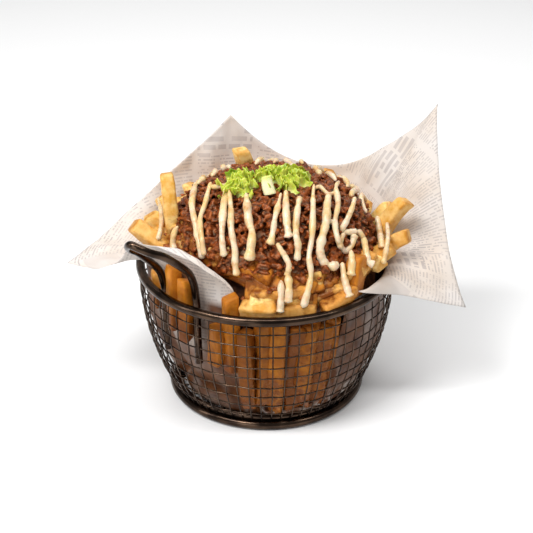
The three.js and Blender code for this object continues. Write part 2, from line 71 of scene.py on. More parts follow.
RIM_RADIUS = (RIM_OUTSIDE - HEAVY_WIRE) / 2
RIM_HEIGHT = BASKET_HEIGHT - HEAVY_WIRE / 2
FOOT_RADIUS = (FOOT_OUTSIDE - HEAVY_WIRE) / 2
RIM_INSIDE = RIM_RADIUS - HEAVY_WIRE / 2 - 0.3
HEM_INSIDE = WALL_FOOT_RADIUS - MESH_WIRE / 2 - GAP - HEM_WIRE
HOOP_PITCH = (BASKET_HEIGHT - 2 * HEAVY_WIRE) / (HOOPS + 0.7)

# Paper
PAPER_FLOOR = 5
PAPER_THICKNESS = 0.3
NOTCH_DEPTH = 9.2
FOOT_EASE = 1.2

# Food
FRY = 7.6
MOUND_RADIUS = 57
MOUND_PEAK = 104
MEAT_CENTRE = (5, -6)
MEAT_REACH = (48, 44)
MEAT_THICKNESS = 9
MEAT_SHOULDER = {"from": 26, "run": 22, "rise": 5}
SAUCE_WIDTH = 3.8
SAUCE_SWELL = 1.12

# The photograph's view, with its sizes in the photograph's own pixels
PHOTO_SIZE = 533
FOCAL_PIXELS = 1400
VIEW_AIM = Vector((0, 0, 65))
VIEW_DISTANCE = 700
VIEW_ELEVATION = math.radians(28.4)


def mix(a, b, t):
    return a + (b - a) * t


def smooth(t):
    t = min(1, max(0, t))
    return t * t * (3 - 2 * t)


def grain(point):
    """Smooth noise from -1 to 1 at a point."""
    return max(-1, min(1, noise.noise(point)))


def polar(degrees, reach, height):
    angle = math.radians(degrees)
    return Vector((reach * math.cos(angle), reach * math.sin(angle), height))


def compass(point):
    """A point's direction from the basket's axis, in degrees from 0 to 360."""
    return math.degrees(math.atan2(point[1], point[0])) % 360


def wall_radius(height):
    """The wall leans out and bulges between the foot ring and the rim."""
    t = (height - HEAVY_WIRE) / (BASKET_HEIGHT - 2 * HEAVY_WIRE)
    return mix(WALL_FOOT_RADIUS, RIM_RADIUS, t) + 4 * WALL_BULGE * max(0, t * (1 - t))


def smooth_route(points, steps):
    """A smooth curve through all the points, with this many steps from each to the next."""
    points = [Vector(p) for p in points]
    ends = [points[0] * 2 - points[1], *points, points[-1] * 2 - points[-2]]
    route = []
    for a, b, c, d in zip(ends, ends[1:], ends[2:], ends[3:]):
        for k in range(steps):
            t = k / steps
            bend = (a * -1 + b * 3 - c * 3 + d) * t + (a * 2 - b * 5 + c * 4 - d)
            route.append(b + (bend * t + (c - a)) * (t / 2))
    return route + [points[-1]]


def finish_piece(name, bm, finishes, nodes=()):
    """The bmesh, still in millimetres, as a smooth piece that rides on the basket."""
    bmesh.ops.scale(bm, vec=(MM, MM, MM), verts=bm.verts)
    for face in bm.faces:
        face.smooth = True
    mesh = bpy.data.meshes.new(name)
    bm.to_mesh(mesh)
    bm.free()
    for finish in finishes:
        mesh.materials.append(finish)
    piece = bpy.data.objects.new(name, mesh)
    bpy.context.collection.objects.link(piece)
    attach(piece, "root")
    if nodes:
        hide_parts(*nodes)
    return piece


def add_wires(bm, routes, thickness, closed=False, roundness=2):
    """Round wires along routes. A point with a fourth number has that share of the thickness."""
    curve = bpy.data.curves.new("wires", "CURVE")
    curve.dimensions = "3D"
    curve.bevel_depth = thickness / 2
    curve.bevel_resolution = roundness
    curve.use_fill_caps = True
    for route in routes:
        spline = curve.splines.new("POLY")
        spline.points.add(len(route) - 1)
        spline.use_cyclic_u = closed
        for knot, point in zip(spline.points, route):
            knot.co = (*point[:3], 1)
            knot.radius = point[3] if len(point) > 3 else 1
    holder = bpy.data.objects.new("wires", curve)
    mesh = bpy.data.meshes.new_from_object(holder)
    bm.from_mesh(mesh)
    bpy.data.objects.remove(holder)
    bpy.data.curves.remove(curve)
    bpy.data.meshes.remove(mesh)


def mould_of(bm, *values):
    """A small mesh to be stamped many times, with its points at rest and a place for each value."""
    for name in values:
        if name not in bm.verts.layers.float:
            bm.verts.layers.float.new(name)
    mesh = bpy.data.meshes.new("mould")
    bm.to_mesh(mesh)
    bm.free()
    return mesh, [vert.co.copy() for vert in mesh.vertices]


def stamp(bm, mould, place, **values):
    """Add a copy of the mould, its points moved by place, with the same values at each."""
    mesh, points = mould
    mesh.vertices.foreach_set("co", [number for point in points for number in place(point)])
    for name, value in values.items():
        mesh.attributes[name].data.foreach_set("value", [value] * len(points))
    bm.from_mesh(mesh)


def add_round_form(bm, columns, rows, place):
    """A closed form: place gives its point at an angle, and a share of the way from foot to top."""
    made = bmesh.ops.create_uvsphere(bm, u_segments=columns, v_segments=rows, radius=1)
    for vert in made["verts"]:
        share = 1 - math.acos(min(1, max(-1, vert.co.z))) / math.pi
        vert.co = place(math.atan2(vert.co.y, vert.co.x), share)
    return made["verts"]


def sunflower(number, count):
    """The angle and the share of the reach of one of many spots spread evenly over a round."""
    return number * math.pi * (3 - math.sqrt(5)), math.sqrt((number + 0.5) / count)


def along_profile(profile, share):
    """The point at a share of the way through a list of points."""
    where = min(share * (len(profile) - 1), len(profile) - 1.001)
    return profile[int(where)].lerp(profile[int(where) + 1], where % 1)


# Finishes

# Fat colours the shine of fried and cooked food
WARM_GLOSS = (1, 0.72, 0.45, 1)


class Finish:
    """A Principled material while its nodes are put together."""

    def __init__(self, name, **sockets):
        self.material = bpy.data.materials.new(name)
        self.material.use_nodes = True
        self.tree = self.material.node_tree
        self.shader = self.tree.nodes["Principled BSDF"]
        for label, value in sockets.items():
            self.shader.inputs[label.replace("_", " ")].default_value = value

    def node(self, kind, inputs=None, **settings):
        """A new node. Each input is a value, or the socket of another node."""
        node = self.tree.nodes.new(kind)
        for key, value in settings.items():
            setattr(node, key, value)
        for key, value in (inputs or {}).items():
            if isinstance(value, bpy.types.NodeSocket):
                self.tree.links.new(value, node.inputs[key])
            else:
                node.inputs[key].default_value = value
        return node

    def math(self, operation, a, b=0.0, c=0.5):
        return self.node("ShaderNodeMath", {0: a, 1: b, 2: c}, operation=operation).outputs[0]

    def place(self):
        return self.node("ShaderNodeTexCoord").outputs["Object"]

    def value(self, attribute):
        return self.node("ShaderNodeAttribute", attribute_name=attribute).outputs["Fac"]

    def noise(self, size, detail=3.0, roughness=0.5):
        """Soft noise whose lumps are about this many millimetres across."""
        inputs = {"Vector": self.place(), "Scale": 1 / (size * MM)}
        inputs |= {"Detail": detail, "Roughness": roughness}
        return self.node("ShaderNodeTexNoise", inputs).outputs["Fac"]

    def between(self, value, low, high, first=0.0, last=1.0):
        """The value's range from low to high, spread from first to last."""
        inputs = {"Value": value, "From Min": low, "From Max": high, "To Min": first, "To Max": last}
        return self.node("ShaderNodeMapRange", inputs).outputs[0]

    def blend(self, share, first, second):
        inputs = {"Factor": share, 6: first, 7: second}
        return self.node("ShaderNodeMix", inputs, data_type="RGBA").outputs[2]

    def bump(self, height, depth, strength=1.0, normal=None):
        """Relief of this many millimetres, over another relief if there is one."""
        inputs = {"Height": height, "Distance": depth * MM, "Strength": strength}
        if normal:
            inputs["Normal"] = normal
        return self.node("ShaderNodeBump", inputs).outputs[0]

    def done(self, **links):
        """The finished material, with these sockets of the shader linked."""
        for label, socket in links.items():
            self.tree.links.new(socket, self.shader.inputs[label.replace("_", " ")])
        return self.material


def polished_steel():
    """Steel with a worn polish. Its very dark base colour is painted shade, standing in for the dark room
    that polished steel reflects.
    """
    steel = Finish("polished_steel", Metallic=1.0)
    patches = steel.between(steel.noise(9, 2), 0.35, 0.65)
    fine = steel.noise(0.6, 4)
    return steel.done(
        # Painted shade: the base colour is kept near black in place of dark reflected surroundings; the
        # patches are random wear.
        Base_Color=steel.blend(patches, (0.032, 0.021, 0.016, 1), (0.095, 0.06, 0.04, 1)),
        Roughness=steel.between(fine, 0.3, 0.7, 0.15, 0.27),
        Normal=steel.bump(fine, 0.015, 0.5),
    )


# The print, in millimetres: each column is cut into blocks, and a block holds small marks, large
# marks or a box. Marks have a pitch of their rows, the inked share of it, a length and a seed.
PRINT_COLUMN = 37.0
PRINT_BLOCK = 21.0
SMALL_MARKS = {"pitch": 1.75, "weight": 0.45, "letter": 0.75, "seed": 0.0}
LARGE_MARKS = {"pitch": 4.2, "weight": 0.6, "letter": 1.8, "seed": 40.0}
SMALL_SHARE = 0.8
LARGE_SHARE = 0.92
UV_SPAN = 100


def word_marks(paper, u, v, pitch, weight, letter, seed):
    """Rows of broken marks, like lines of small print seen from afar."""
    row = paper.math("DIVIDE", v, pitch)
    row_number = paper.math("ADD", paper.math("FLOOR", row), seed)
    in_row = paper.math("LESS_THAN", paper.math("FRACT", row), weight)
    spot = paper.math("FLOOR", paper.math("DIVIDE", u, letter))
    word = paper.math("FLOOR", paper.math("DIVIDE", u, letter * 5.3))
    letters = paper.node("ShaderNodeCombineXYZ", {0: spot, 1: row_number})
    words = paper.node("ShaderNodeCombineXYZ", {0: word, 1: row_number, 2: 7.0})
    marks = paper.node("ShaderNodeTexWhiteNoise", {"Vector": letters.outputs[0]}).outputs[0]
    gaps = paper.node("ShaderNodeTexWhiteNoise", {"Vector": words.outputs[0]}).outputs[0]
    inked = paper.math("GREATER_THAN", marks, 0.22)
    inked = paper.math("MULTIPLY", inked, paper.math("GREATER_THAN", gaps, 0.16))
    return paper.math("MULTIPLY", inked, in_row)


def generic_print(paper):
    """How dark the ink is: columns of small marks, bands of larger ones and grey boxes."""
    flat = paper.node("ShaderNodeUVMap", uv_map="sheet").outputs[0]
    parts = paper.node("ShaderNodeSeparateXYZ", {0: flat})
    u = paper.math("MULTIPLY", parts.outputs[0], UV_SPAN)
    v = paper.math("MULTIPLY", parts.outputs[1], UV_SPAN)
    across = paper.math("DIVIDE", u, PRINT_COLUMN)
    number = paper.math("FLOOR", across)
    shifted = paper.math("MULTIPLY", number, 0.37)
    down = paper.math("ADD", paper.math("DIVIDE", v, PRINT_BLOCK), shifted)
    cell = paper.node("ShaderNodeCombineXYZ", {0: number, 1: paper.math("FLOOR", down), 2: 3.0})
    kind = paper.node("ShaderNodeTexWhiteNoise", {"Vector": cell.outputs[0]}).outputs[0]
    in_column = paper.math("COMPARE", paper.math("FRACT", across), 0.5, 0.455)
    in_block = paper.math("COMPARE", paper.math("FRACT", down), 0.5, 0.4)
    small = word_marks(paper, u, v, **SMALL_MARKS)
    small = paper.math("MULTIPLY", small, paper.math("LESS_THAN", kind, SMALL_SHARE))
    large = word_marks(paper, u, v, **LARGE_MARKS)
    large = paper.math("MULTIPLY", large, paper.math("GREATER_THAN", kind, SMALL_SHARE))
    large = paper.math("MULTIPLY", large, paper.math("LESS_THAN", kind, LARGE_SHARE))
    box = paper.math("MULTIPLY", paper.math("GREATER_THAN", kind, LARGE_SHARE), in_block)
    ink = paper.math("MAXIMUM", paper.math("MULTIPLY", small, 0.62), paper.math("MULTIPLY", large, 0.6))
    ink = paper.math("MAXIMUM", ink, paper.math("MULTIPLY", box, 0.28))
    ink = paper.math("MULTIPLY", ink, in_column)
    worn = paper.between(paper.noise(14, 3), 0.3, 0.7, 0.35, 1.0)
    return paper.math("MULTIPLY", ink, worn)


def printed_paper():
    """Off-white paper with a print, brown and less dull where it has taken up oil, and in the same brown as
    painted shade inside the basket below the rim.
    """
    paper = Finish("printed_paper", Specular_IOR_Level=0.3)
    cloud = paper.between(paper.noise(22, 3), 0.35, 0.65)
    white = paper.blend(cloud, (0.67, 0.625, 0.59, 1), (0.63, 0.55, 0.48, 1))
    inked = paper.blend(generic_print(paper), white, (0.30, 0.26, 0.26, 1))
    # Grease and painted shade: one mask browns the paper for oil and for the shade inside the mesh.
    soaked_and_shaded = paper.value("grease_and_shade")
    patches = paper.between(paper.noise(7, 3), 0.35, 0.65)
    browned = paper.blend(patches, (0.16, 0.055, 0.014, 1), (0.08, 0.025, 0.007, 1))
    fibres = paper.noise(1.1, 4, 0.6)
    return paper.done(
        Base_Color=paper.blend(soaked_and_shaded, inked, browned),
        Roughness=paper.between(soaked_and_shaded, 0, 1, 0.72, 0.4),
        Normal=paper.bump(fibres, 0.12, 0.5),
    )


def fried_potato():
    """Golden at the faces, browner at the edges and ends, with meat juice where it has run, and painted
    shade on the fries low down.

    A tone of 0 is pale, 1 is well fried and 2 is a deep brown that paints the shade on the fries low down
    behind the mesh.
    """
    potato = Finish("fried_potato", Specular_IOR_Level=0.35, Specular_Tint=WARM_GLOSS)
    potato.shader.inputs["Subsurface Weight"].default_value = 0.12
    potato.shader.inputs["Subsurface Scale"].default_value = 0.002
    potato.shader.inputs["Subsurface Radius"].default_value = (1.0, 0.45, 0.15)
    tone = potato.value("tone")
    blotch = potato.between(potato.noise(5, 4, 0.6), 0.38, 0.66)
    pale = potato.blend(tone, (0.95, 0.70, 0.28, 1), (0.62, 0.22, 0.015, 1))
    golden = potato.blend(tone, (0.86, 0.46, 0.07, 1), (0.42, 0.115, 0.005, 1))
    # Painted shade: the deep brown that the highest tones reach, for the fries low down behind the mesh.
    deep_brown_shade = potato.blend(blotch, (0.19, 0.045, 0.004, 1), (0.10, 0.02, 0.002, 1))
    face = potato.blend(potato.between(tone, 1, 2), potato.blend(blotch, pale, golden), deep_brown_shade)
    toast = potato.math("MULTIPLY", potato.value("toast"), potato.between(blotch, 0, 1, 0.15, 0.9))
    crust = potato.blend(toast, face, (0.40, 0.14, 0.02, 1))
    patches = potato.between(potato.noise(3.2, 3), 0.3, 0.7, -0.28, 0.28)
    juice_and_shade = potato.between(potato.math("ADD", potato.value("juice_and_shade"), patches), 0.38, 0.8)
    pits = potato.noise(0.9, 4, 0.6)
    return potato.done(
        Base_Color=potato.blend(juice_and_shade, crust, (0.20, 0.055, 0.010, 1)),
        Roughness=potato.between(juice_and_shade, 0, 1, 0.46, 0.2),
        Normal=potato.bump(pits, 0.22, 0.6, potato.bump(blotch, 0.25, 0.5)),
    )


def dark_core():
    """The fries further in, which show only as shade between the others."""
    core = Finish("fries_further_in", Roughness=0.5)
    lumps = core.noise(6, 3)
    colour = core.blend(core.between(lumps, 0.35, 0.65), (0.05, 0.014, 0.005, 1), (0.16, 0.05, 0.01, 1))
    return core.done(Base_Color=colour, Normal=core.bump(lumps, 1.2))


def cooked_mince():
    """Brown crumbs of many colours, wet with their juice. A tone of 0 is the darkest, and the tone holds
    painted shade in the hollows.
    """
    mince = Finish("cooked_mince", Specular_IOR_Level=0.5, Specular_Tint=WARM_GLOSS)
    tone = mince.value("tone")
    spots = mince.noise(1.4, 4, 0.65)
    dark = mince.blend(tone, (0.016, 0.002, 0.0005, 1), (0.155, 0.024, 0.003, 1))
    light = mince.blend(tone, (0.07, 0.009, 0.001, 1), (0.45, 0.115, 0.024, 1))
    return mince.done(
        Base_Color=mince.blend(mince.between(spots, 0.4, 0.66), dark, light),
        Roughness=mince.between(mince.noise(3, 2), 0.3, 0.7, 0.2, 0.45),
        Normal=mince.bump(spots, 0.35, 0.8),
    )


def pale_sauce():
    """Pale sauce, yellower in places and stained here and there by the meat."""
    sauce = Finish("pale_sauce", Subsurface_Weight=0.2, Subsurface_Scale=0.0012, Specular_IOR_Level=0.5)
    yellower = sauce.between(sauce.noise(9, 2), 0.4, 0.62)
    clean = sauce.blend(yellower, (0.76, 0.61, 0.43, 1), (0.72, 0.50, 0.22, 1))
    stain = sauce.between(sauce.noise(5, 3, 0.5), 0.5, 0.78)
    return sauce.done(
        Base_Color=sauce.blend(stain, clean, (0.52, 0.27, 0.085, 1)),
        Roughness=sauce.between(sauce.noise(4, 2), 0.3, 0.7, 0.2, 0.38),
        Normal=sauce.bump(sauce.noise(2.6, 2), 0.2, 0.6),
    )


def fresh_lettuce():
    """Pale by the ribs and greener to the frilled edge, with some leaves of a deeper green."""
    leaf = Finish("fresh_lettuce", Subsurface_Weight=0.15, Subsurface_Scale=0.001, Roughness=0.33)
    veins = leaf.between(leaf.noise(2.4, 3), 0.35, 0.65)
    inner = leaf.blend(veins, (0.70, 0.72, 0.18, 1), (0.90, 0.88, 0.48, 1))
    outer = leaf.blend(veins, (0.40, 0.52, 0.02, 1), (0.66, 0.70, 0.10, 1))
    deep = leaf.between(leaf.noise(8, 2), 0.54, 0.68)
    outer = leaf.blend(deep, outer, (0.20, 0.34, 0.008, 1))
    return leaf.done(
        Base_Color=leaf.blend(leaf.value("rim"), inner, outer),
        Normal=leaf.bump(veins, 0.15, 0.6),
    )


def crisp_stalk():
    """Pale stalk that is greener at one end."""
    stalk = Finish("crisp_stalk", Subsurface_Weight=0.2, Subsurface_Scale=0.0015, Roughness=0.3)
    colour = stalk.blend(stalk.value("rim"), (0.86, 0.82, 0.50, 1), (0.62, 0.68, 0.16, 1))
    return stalk.done(Base_Color=colour, Normal=stalk.bump(stalk.noise(1.2, 3), 0.2, 0.5))


def plain_floor():
    return Finish("plain_floor", Base_Color=(0.9, 0.9, 0.9, 1), Roughness=0.8).done()


# Basket


def hoop_route(number):
    """A hoop of the wall, which passes outside one upright and inside the next."""
    height = HEAVY_WIRE + HOOP_PITCH * number
    route = []
    steps = UPRIGHTS * 4
    for k in range(steps):
        turn = k / steps
        weave = math.cos(math.pi * (turn * UPRIGHTS - 0.5 + number)) * CRIMP
        route.append(polar(turn * 360, wall_radius(height) + MESH_OUT + weave, height))
    return route


def upright_route(number):
    """An upright, from inside the foot ring to inside the rim, crimped round each hoop."""
    route = []
    steps = (HOOPS + 1) * 5
    for k in range(steps + 1):
        height = mix(HEAVY_WIRE / 2, RIM_HEIGHT, k / steps)
        level = (height - HEAVY_WIRE) / HOOP_PITCH
        inside = smooth((level - 0.2) / 0.6) * smooth((HOOPS + 0.5 - level) / 0.5)
        weave = -math.cos(math.pi * (level + number)) * CRIMP * inside
        degrees = (number + 0.5) * 360 / UPRIGHTS
        route.append(polar(degrees, wall_radius(height) + mix(0, MESH_OUT, inside) + weave, height))
    return route


def ring_route(radius, height, steps=160):
    return [polar(k * 360 / steps, radius, height) for k in range(steps)]


def floor_routes():
    """The two layers of floor wires, and the radius of the ring round them."""
    outer = FOOT_RADIUS - HEAVY_WIRE / 2 - GAP - MESH_WIRE
    routes = []
    for i in range(FLOOR_WIRES):
        across = (i - (FLOOR_WIRES - 1) / 2) * FLOOR_PITCH
        half = math.sqrt(outer * outer - across * across)
        for level, turned in ((0.5, False), (-0.5, True)):
            height = HEAVY_WIRE / 2 + level * MESH_WIRE
            ends = [Vector((-half, across, height)), Vector((half, across, height))]
            routes.append([Vector((p.y, p.x, p.z)) if turned else p for p in ends])
    return routes, outer


# One side of the handle's loop: how far out from the leg's foot, height, and half the loop's width
HANDLE_SIDE = [
    (-0.6, 36, 10.4),
    (0, 52, 10.4),
    (0.2, 67.5, 10.4),
    (0.6, 72, 10.5),
    (2, 79, 10.8),
    (4.6, 84.5, 10.8),
    (8, 88.5, 10.6),
    (13, 93.5, 10),
    (19, 99, 8.8),
    (25, 103, 6.6),
    (28.8, 106.3, 3.8),
]
HANDLE_TIP = (30.5, 108.3, 0)


def handle_point(out, height, side):
    """A point of the loop, which leans a little to one side above the rim."""
    tilt = side * HANDLE_TILT * smooth((height - BASKET_HEIGHT) / 16)
    turn = Matrix.Rotation(math.radians(HANDLE_FACING), 3, "Z")
    return polar(HANDLE_PLACE, HANDLE_LEG_REACH, 0) + turn @ Vector((out, side, height + tilt))


def handle_route():
    near = [handle_point(out, height, half) for out, height, half in HANDLE_SIDE]
    far = [handle_point(out, height, -half) for out, height, half in reversed(HANDLE_SIDE)]
    return smooth_route([*near, handle_point(*HANDLE_TIP), *far], 8)


def finish_wires(name, steel, nodes, *bundles):
    """A steel piece made of bundles of wires: routes, thickness, whether closed, and roundness."""
    bm = bmesh.new()
    for bundle in bundles:
        add_wires(bm, *bundle)
    finish_piece(name, bm, [steel], nodes)


def build_basket():
    steel = polished_steel()
    rim = ring_route(RIM_RADIUS, RIM_HEIGHT)
    foot = ring_route(FOOT_RADIUS, HEAVY_WIRE / 2)
    uprights = [upright_route(i) for i in range(UPRIGHTS)]
    finish_wires(
        "frame_wires", steel, ["basket_frame"],
        ([rim], HEAVY_WIRE, True, 6), ([foot], HEAVY_WIRE, True, 6), (uprights, DRAWN_MESH_WIRE, False, 1),
    )

    numbers = range(1, HOOPS + 1)
    hoops = [hoop_route(i) for i in numbers]
    nodes = [f"basket_hoop_{i}" for i in numbers]
    finish_wires("hoop_wires", steel, nodes, (hoops, DRAWN_MESH_WIRE, True, 1))

    height = HEAVY_WIRE + GAP + HEM_WIRE / 2
    hem = ring_route(wall_radius(height) - MESH_WIRE / 2 - GAP - HEM_WIRE / 2, height)
    finish_wires("hem_wire", steel, ["basket_hem"], ([hem], HEM_WIRE, True, 4))

    wires, outer = floor_routes()
    edge = ring_route(outer, HEAVY_WIRE / 2)
    finish_wires(
        "floor_wires", steel, ["basket_floor"],
        (wires, MESH_WIRE), ([edge], FLOOR_EDGE_WIRE, True),
    )
    finish_wires("handle_wire", steel, ["basket_handle"], ([handle_route()], HANDLE_WIRE, False, 6))


# Paper


def notch(degrees):
    """How far the paper is pushed in beside the handle, where fries stand between it and the wall."""
    return NOTCH_DEPTH * smooth((degrees - 180) / 12) * smooth((272 - degrees) / 12)


def paper_radius(degrees, height):
    room = min(wall_radius(height) - MESH_WIRE / 2, RIM_INSIDE)
    return room - GAP - 0.3 - notch(degrees % 360)


def on_wall(degrees, height):
    return polar(degrees, paper_radius(degrees, height), height)


# The sheet's corners, clockwise from the left one, and how far its edge sags before the next
LEFT_CORNER = Vector((-98.4, -6, 70))
BACK_CORNER = Vector((-18.5, 65.5, 119.5))
HIGH_CORNER = Vector((85.5, 42, 135.5))
RIGHT_CORNER = Vector((96.6, -28.5, 58))
CORNERS = [
    (LEFT_CORNER, (-4, 5, -7)),
    (BACK_CORNER, (0, 6, -34)),
    (HIGH_CORNER, (-3, 0, -7)),
    (RIGHT_CORNER, (0, -2, 1)),
]

# The edge along the front, from the right corner: over the rim, low inside the wall, and up again
RIGHT_FLAP = [
    polar(-25.3, 71.3, 66),
    polar(-36.5, 66.5, 71.6),
    polar(-43.5, 63.5, 74.5),
    polar(-47.5, 58.6, 75.5),
]
LOW_FRONT = [
    on_wall(-51.5, 66),
    on_wall(-57, 16),
    on_wall(-69, 13),
    on_wall(-84, 12),
    on_wall(-98, 13),
    on_wall(-102.5, 62),
]
LEFT_FLAP = [
    polar(-107, 51, 77),
    polar(-112, 52.5, 83),
    polar(-118, 56.5, 88.5),
    polar(-125, 58, 92.5),
    polar(-145, 62, 95),
    polar(-162, 68, 90),
    polar(-166, 74, 77),
    polar(-169, 84, 71),
]
PAPER_EDGE = CORNERS + [(point, (0, 0, 0)) for point in RIGHT_FLAP + LOW_FRONT + LEFT_FLAP]
EDGE_STEP = 1.7

# Radial folds of the free paper: direction in degrees, half width in degrees, depth in millimetres
FOLDS = [
    (-3, 9, 4.5), (14, 8, -1.6), (29, 7, 2.2), (41, 5, -1.4), (57, 9, 2.4), (76, 8, -3),
    (96, 8, 1.8), (118, 10, -2), (139, 9, 2.6), (158, 8, -2.2), (172, 7, 2), (188, 8, -2),
]


def sheet_edge():
    """Evenly spaced points of the edge, anticlockwise, with its small corners rounded off."""
    points = []
    for (start, sag), (end, _) in zip(PAPER_EDGE, PAPER_EDGE[1:] + PAPER_EDGE[:1]):
        steps = max(2, round((end - start).length / EDGE_STEP))
        for k in range(steps):
            t = k / steps
            points.append(start.lerp(end, t) + Vector(sag) * (4 * t * (1 - t)))
    corners = [corner for corner, _ in CORNERS]
    fixed = {i for i, p in enumerate(points) if p in corners}
    for _ in range(3):
        before, after = points[-1:] + points[:-1], points[1:] + points[:1]
        points = [
            p if i in fixed else p * 0.5 + (a + b) * 0.25
            for i, (p, a, b) in enumerate(zip(points, before, after))
        ]
    return list(reversed(points))


def free_curve(start, end):
    """The middle point of the free part's bend, in the plane of reach and height."""
    low = (start + end) / 2
    standing = Vector((start.x, end.y + 5))
    climb = max(9, 0.42 * (end.y - start.y))
    hanging = Vector((start.x + 2.5 + 0.06 * (end.x - start.x), start.y + climb))
    bend = low.lerp(standing, smooth((end.y - RIM_HEIGHT) / 10))
    return bend.lerp(hanging, smooth((end.x - 59) / 9))


def bezier(a, b, c, t):
    return a.lerp(b, t).lerp(b.lerp(c, t), t)


# How far along the sheet from its middle the wall presses it, and where it comes free of the rim
PRESSED_FROM = 46
PRESSED_TO = 110
FREE_FROM = 118

# Rows of the sheet's mesh on the floor, round the bend, up the wall and above it
FLOOR_ROWS = 9
FILLET_ROWS = 4
WALL_ROWS = 18
FREE_ROWS = 38
SHEET_ROWS = FLOOR_ROWS + FILLET_ROWS + WALL_ROWS + FREE_ROWS


def sheet_column(edge):
    """The sheet from its middle to a point of its edge, and each point's share of the free part."""
    degrees = compass(edge)
    reach = math.hypot(edge.x, edge.y)
    over_rim = max(smooth((reach - 61) / 3), smooth((edge.z - 66) / 6))
    leaves = mix(mix(PAPER_FLOOR + 5, edge.z, 0.6), BASKET_HEIGHT - 1.5, over_rim)
    corner = HEM_INSIDE - GAP - 0.5
    foot = PAPER_FLOOR + HEM_WIRE + 2.5
    flat = Vector((corner - 2.5, PAPER_FLOOR))
    rise = Vector((paper_radius(degrees, foot) - FOOT_EASE, foot))
    column = []
    for k in range(FLOOR_ROWS):
        share = k / FLOOR_ROWS
        column.append((flat * share + Vector((0, PAPER_FLOOR * (1 - share))), 0))
    turn = Vector((corner, PAPER_FLOOR))
    column += [(bezier(flat, turn, rise, k / FILLET_ROWS), 0) for k in range(FILLET_ROWS)]
    for k in range(WALL_ROWS):
        share = k / WALL_ROWS
        height = mix(foot, leaves, share)
        ease = FOOT_EASE * max(0, 1 - 2 * share)
        column.append((Vector((paper_radius(degrees, height) - ease, height)), 0))
    start = Vector((paper_radius(degrees, leaves), leaves))
    end = Vector((reach, edge.z))
    bend = free_curve(start, end)
    column += [(bezier(start, bend, end, k / FREE_ROWS), k / FREE_ROWS) for k in range(FREE_ROWS + 1)]
    return [(polar(degrees, p.x, p.y), share) for p, share in column]


def print_turn(degrees):
    """Which way the print runs: the paper is folded between one flap and the next."""
    if degrees > 357 or degrees < 76:
        return 83
    return 8 if degrees > 270 else -7


def crumple(u, v):
    """Relief of paper that was crushed and opened again, in millimetres."""
    coarse = noise.voronoi(Vector((u / 27, v / 27, 1.3)))[0][0]
    fine = noise.voronoi(Vector((u / 12, v / 12, 5.1)))[0][0]
    return 3.2 * (coarse - 0.45) + 1.1 * (fine - 0.45)


def fold_depth(degrees):
    """Relief of the sheet's folds in this direction, in millimetres."""
    total = 0
    for where, half, depth in FOLDS:
        away = abs((degrees - where + 180) % 360 - 180)
        total += depth * max(0, 1 - away / half)
    return total


def grease_and_painted_shade(point, u, v):
    """How much oil the paper has taken up, with painted shade: the paper inside the basket below the rim is
    browned for both grease and shade, least beside the handle.
    """
    # Painted shade and grease: brown inside the basket below the rim stands for oil and for the shade
    # behind the mesh.
    inside = smooth((BASKET_HEIGHT - point.z) / 5) * smooth((64 - math.hypot(point.x, point.y)) / 3)
    patches = 0.5 + 0.9 * grain(Vector((u / 16, v / 16, 9)))
    degrees = compass(point)
    clean = smooth((degrees - 183) / 12) * smooth((240 - degrees) / 12) * smooth((point.z - 34) / 10)
    low = smooth((22 - point.z) / 6) * smooth(grain(Vector((u / 6, v / 6, 2))) * 3)
    low *= smooth((degrees - 262) / 10)
    return inside * min(1, max(0, 0.72 + 0.5 * patches - 0.75 * clean - 0.8 * low))


def thicken(bm, thickness, flat):
    """A second skin behind an open one, and faces between their edges."""
    bm.normal_update()
    rim = [edge for edge in bm.edges if edge.is_boundary]
    normals = [(vert, vert.normal.copy()) for vert in bm.verts]
    made = bmesh.ops.duplicate(bm, geom=bm.verts[:] + bm.edges[:] + bm.faces[:])
    behind = made["vert_map"]
    for vert, normal in normals:
        behind[vert].co = vert.co - normal * thickness
    second = [item for item in made["geom"] if isinstance(item, bmesh.types.BMFace)]
    bmesh.ops.reverse_faces(bm, faces=second)
    for edge in rim:
        loop = edge.link_loops[0]
        a, b = loop.vert, loop.link_loop_next.vert
        ends = [loop.link_loop_next[flat].uv.copy(), loop[flat].uv.copy()]
        side = bm.faces.new((b, a, behind[a], behind[b]))
        for corner, uv in zip(side.loops, (ends[0], ends[1], ends[1], ends[0])):
            corner[flat].uv = uv


def lengths_along(column):
    """How far along a column of the sheet each of its points is."""
    lengths = [0]
    for (a, _), (b, _) in zip(column, column[1:]):
        lengths.append(lengths[-1] + (b - a).length)
    return lengths


def crease(bm, spread, around):
    """Crumple and fold the free paper, and press the paper in the basket inwards a little."""
    bm.normal_update()
    for vert in bm.verts:
        u, v, free = spread[vert.index]
        past_rim = smooth((v - FREE_FROM) / 16) if free > 0 else 0
        near_edge = mix(1, 0.45, smooth((free - 0.8) / 0.2))
        seam = smooth(min(u, around - u) / 12)
        relief = crumple(u, v) * seam + fold_depth(compass(vert.co))
        pressed = smooth((v - PRESSED_FROM) / 8) * smooth((PRESSED_TO - v) / 10) * seam
        inwards = abs(crumple(u * 1.6, v * 1.6)) * 0.45 * pressed * (1 if free == 0 else 0.5)
        vert.co += vert.normal * (relief * past_rim * near_edge)
        vert.co -= vert.normal * inwards


def lay_print(bm, spread, flat):
    """The flat sheet's own millimetres as the print's coordinates, turned on each flap."""
    for face in bm.faces:
        turn = Matrix.Rotation(math.radians(print_turn(compass(face.calc_center_median()))), 2)
        for loop in face.loops:
            u, v, _ = spread[loop.vert.index]
            loop[flat].uv = turn @ Vector((u, v)) / UV_SPAN


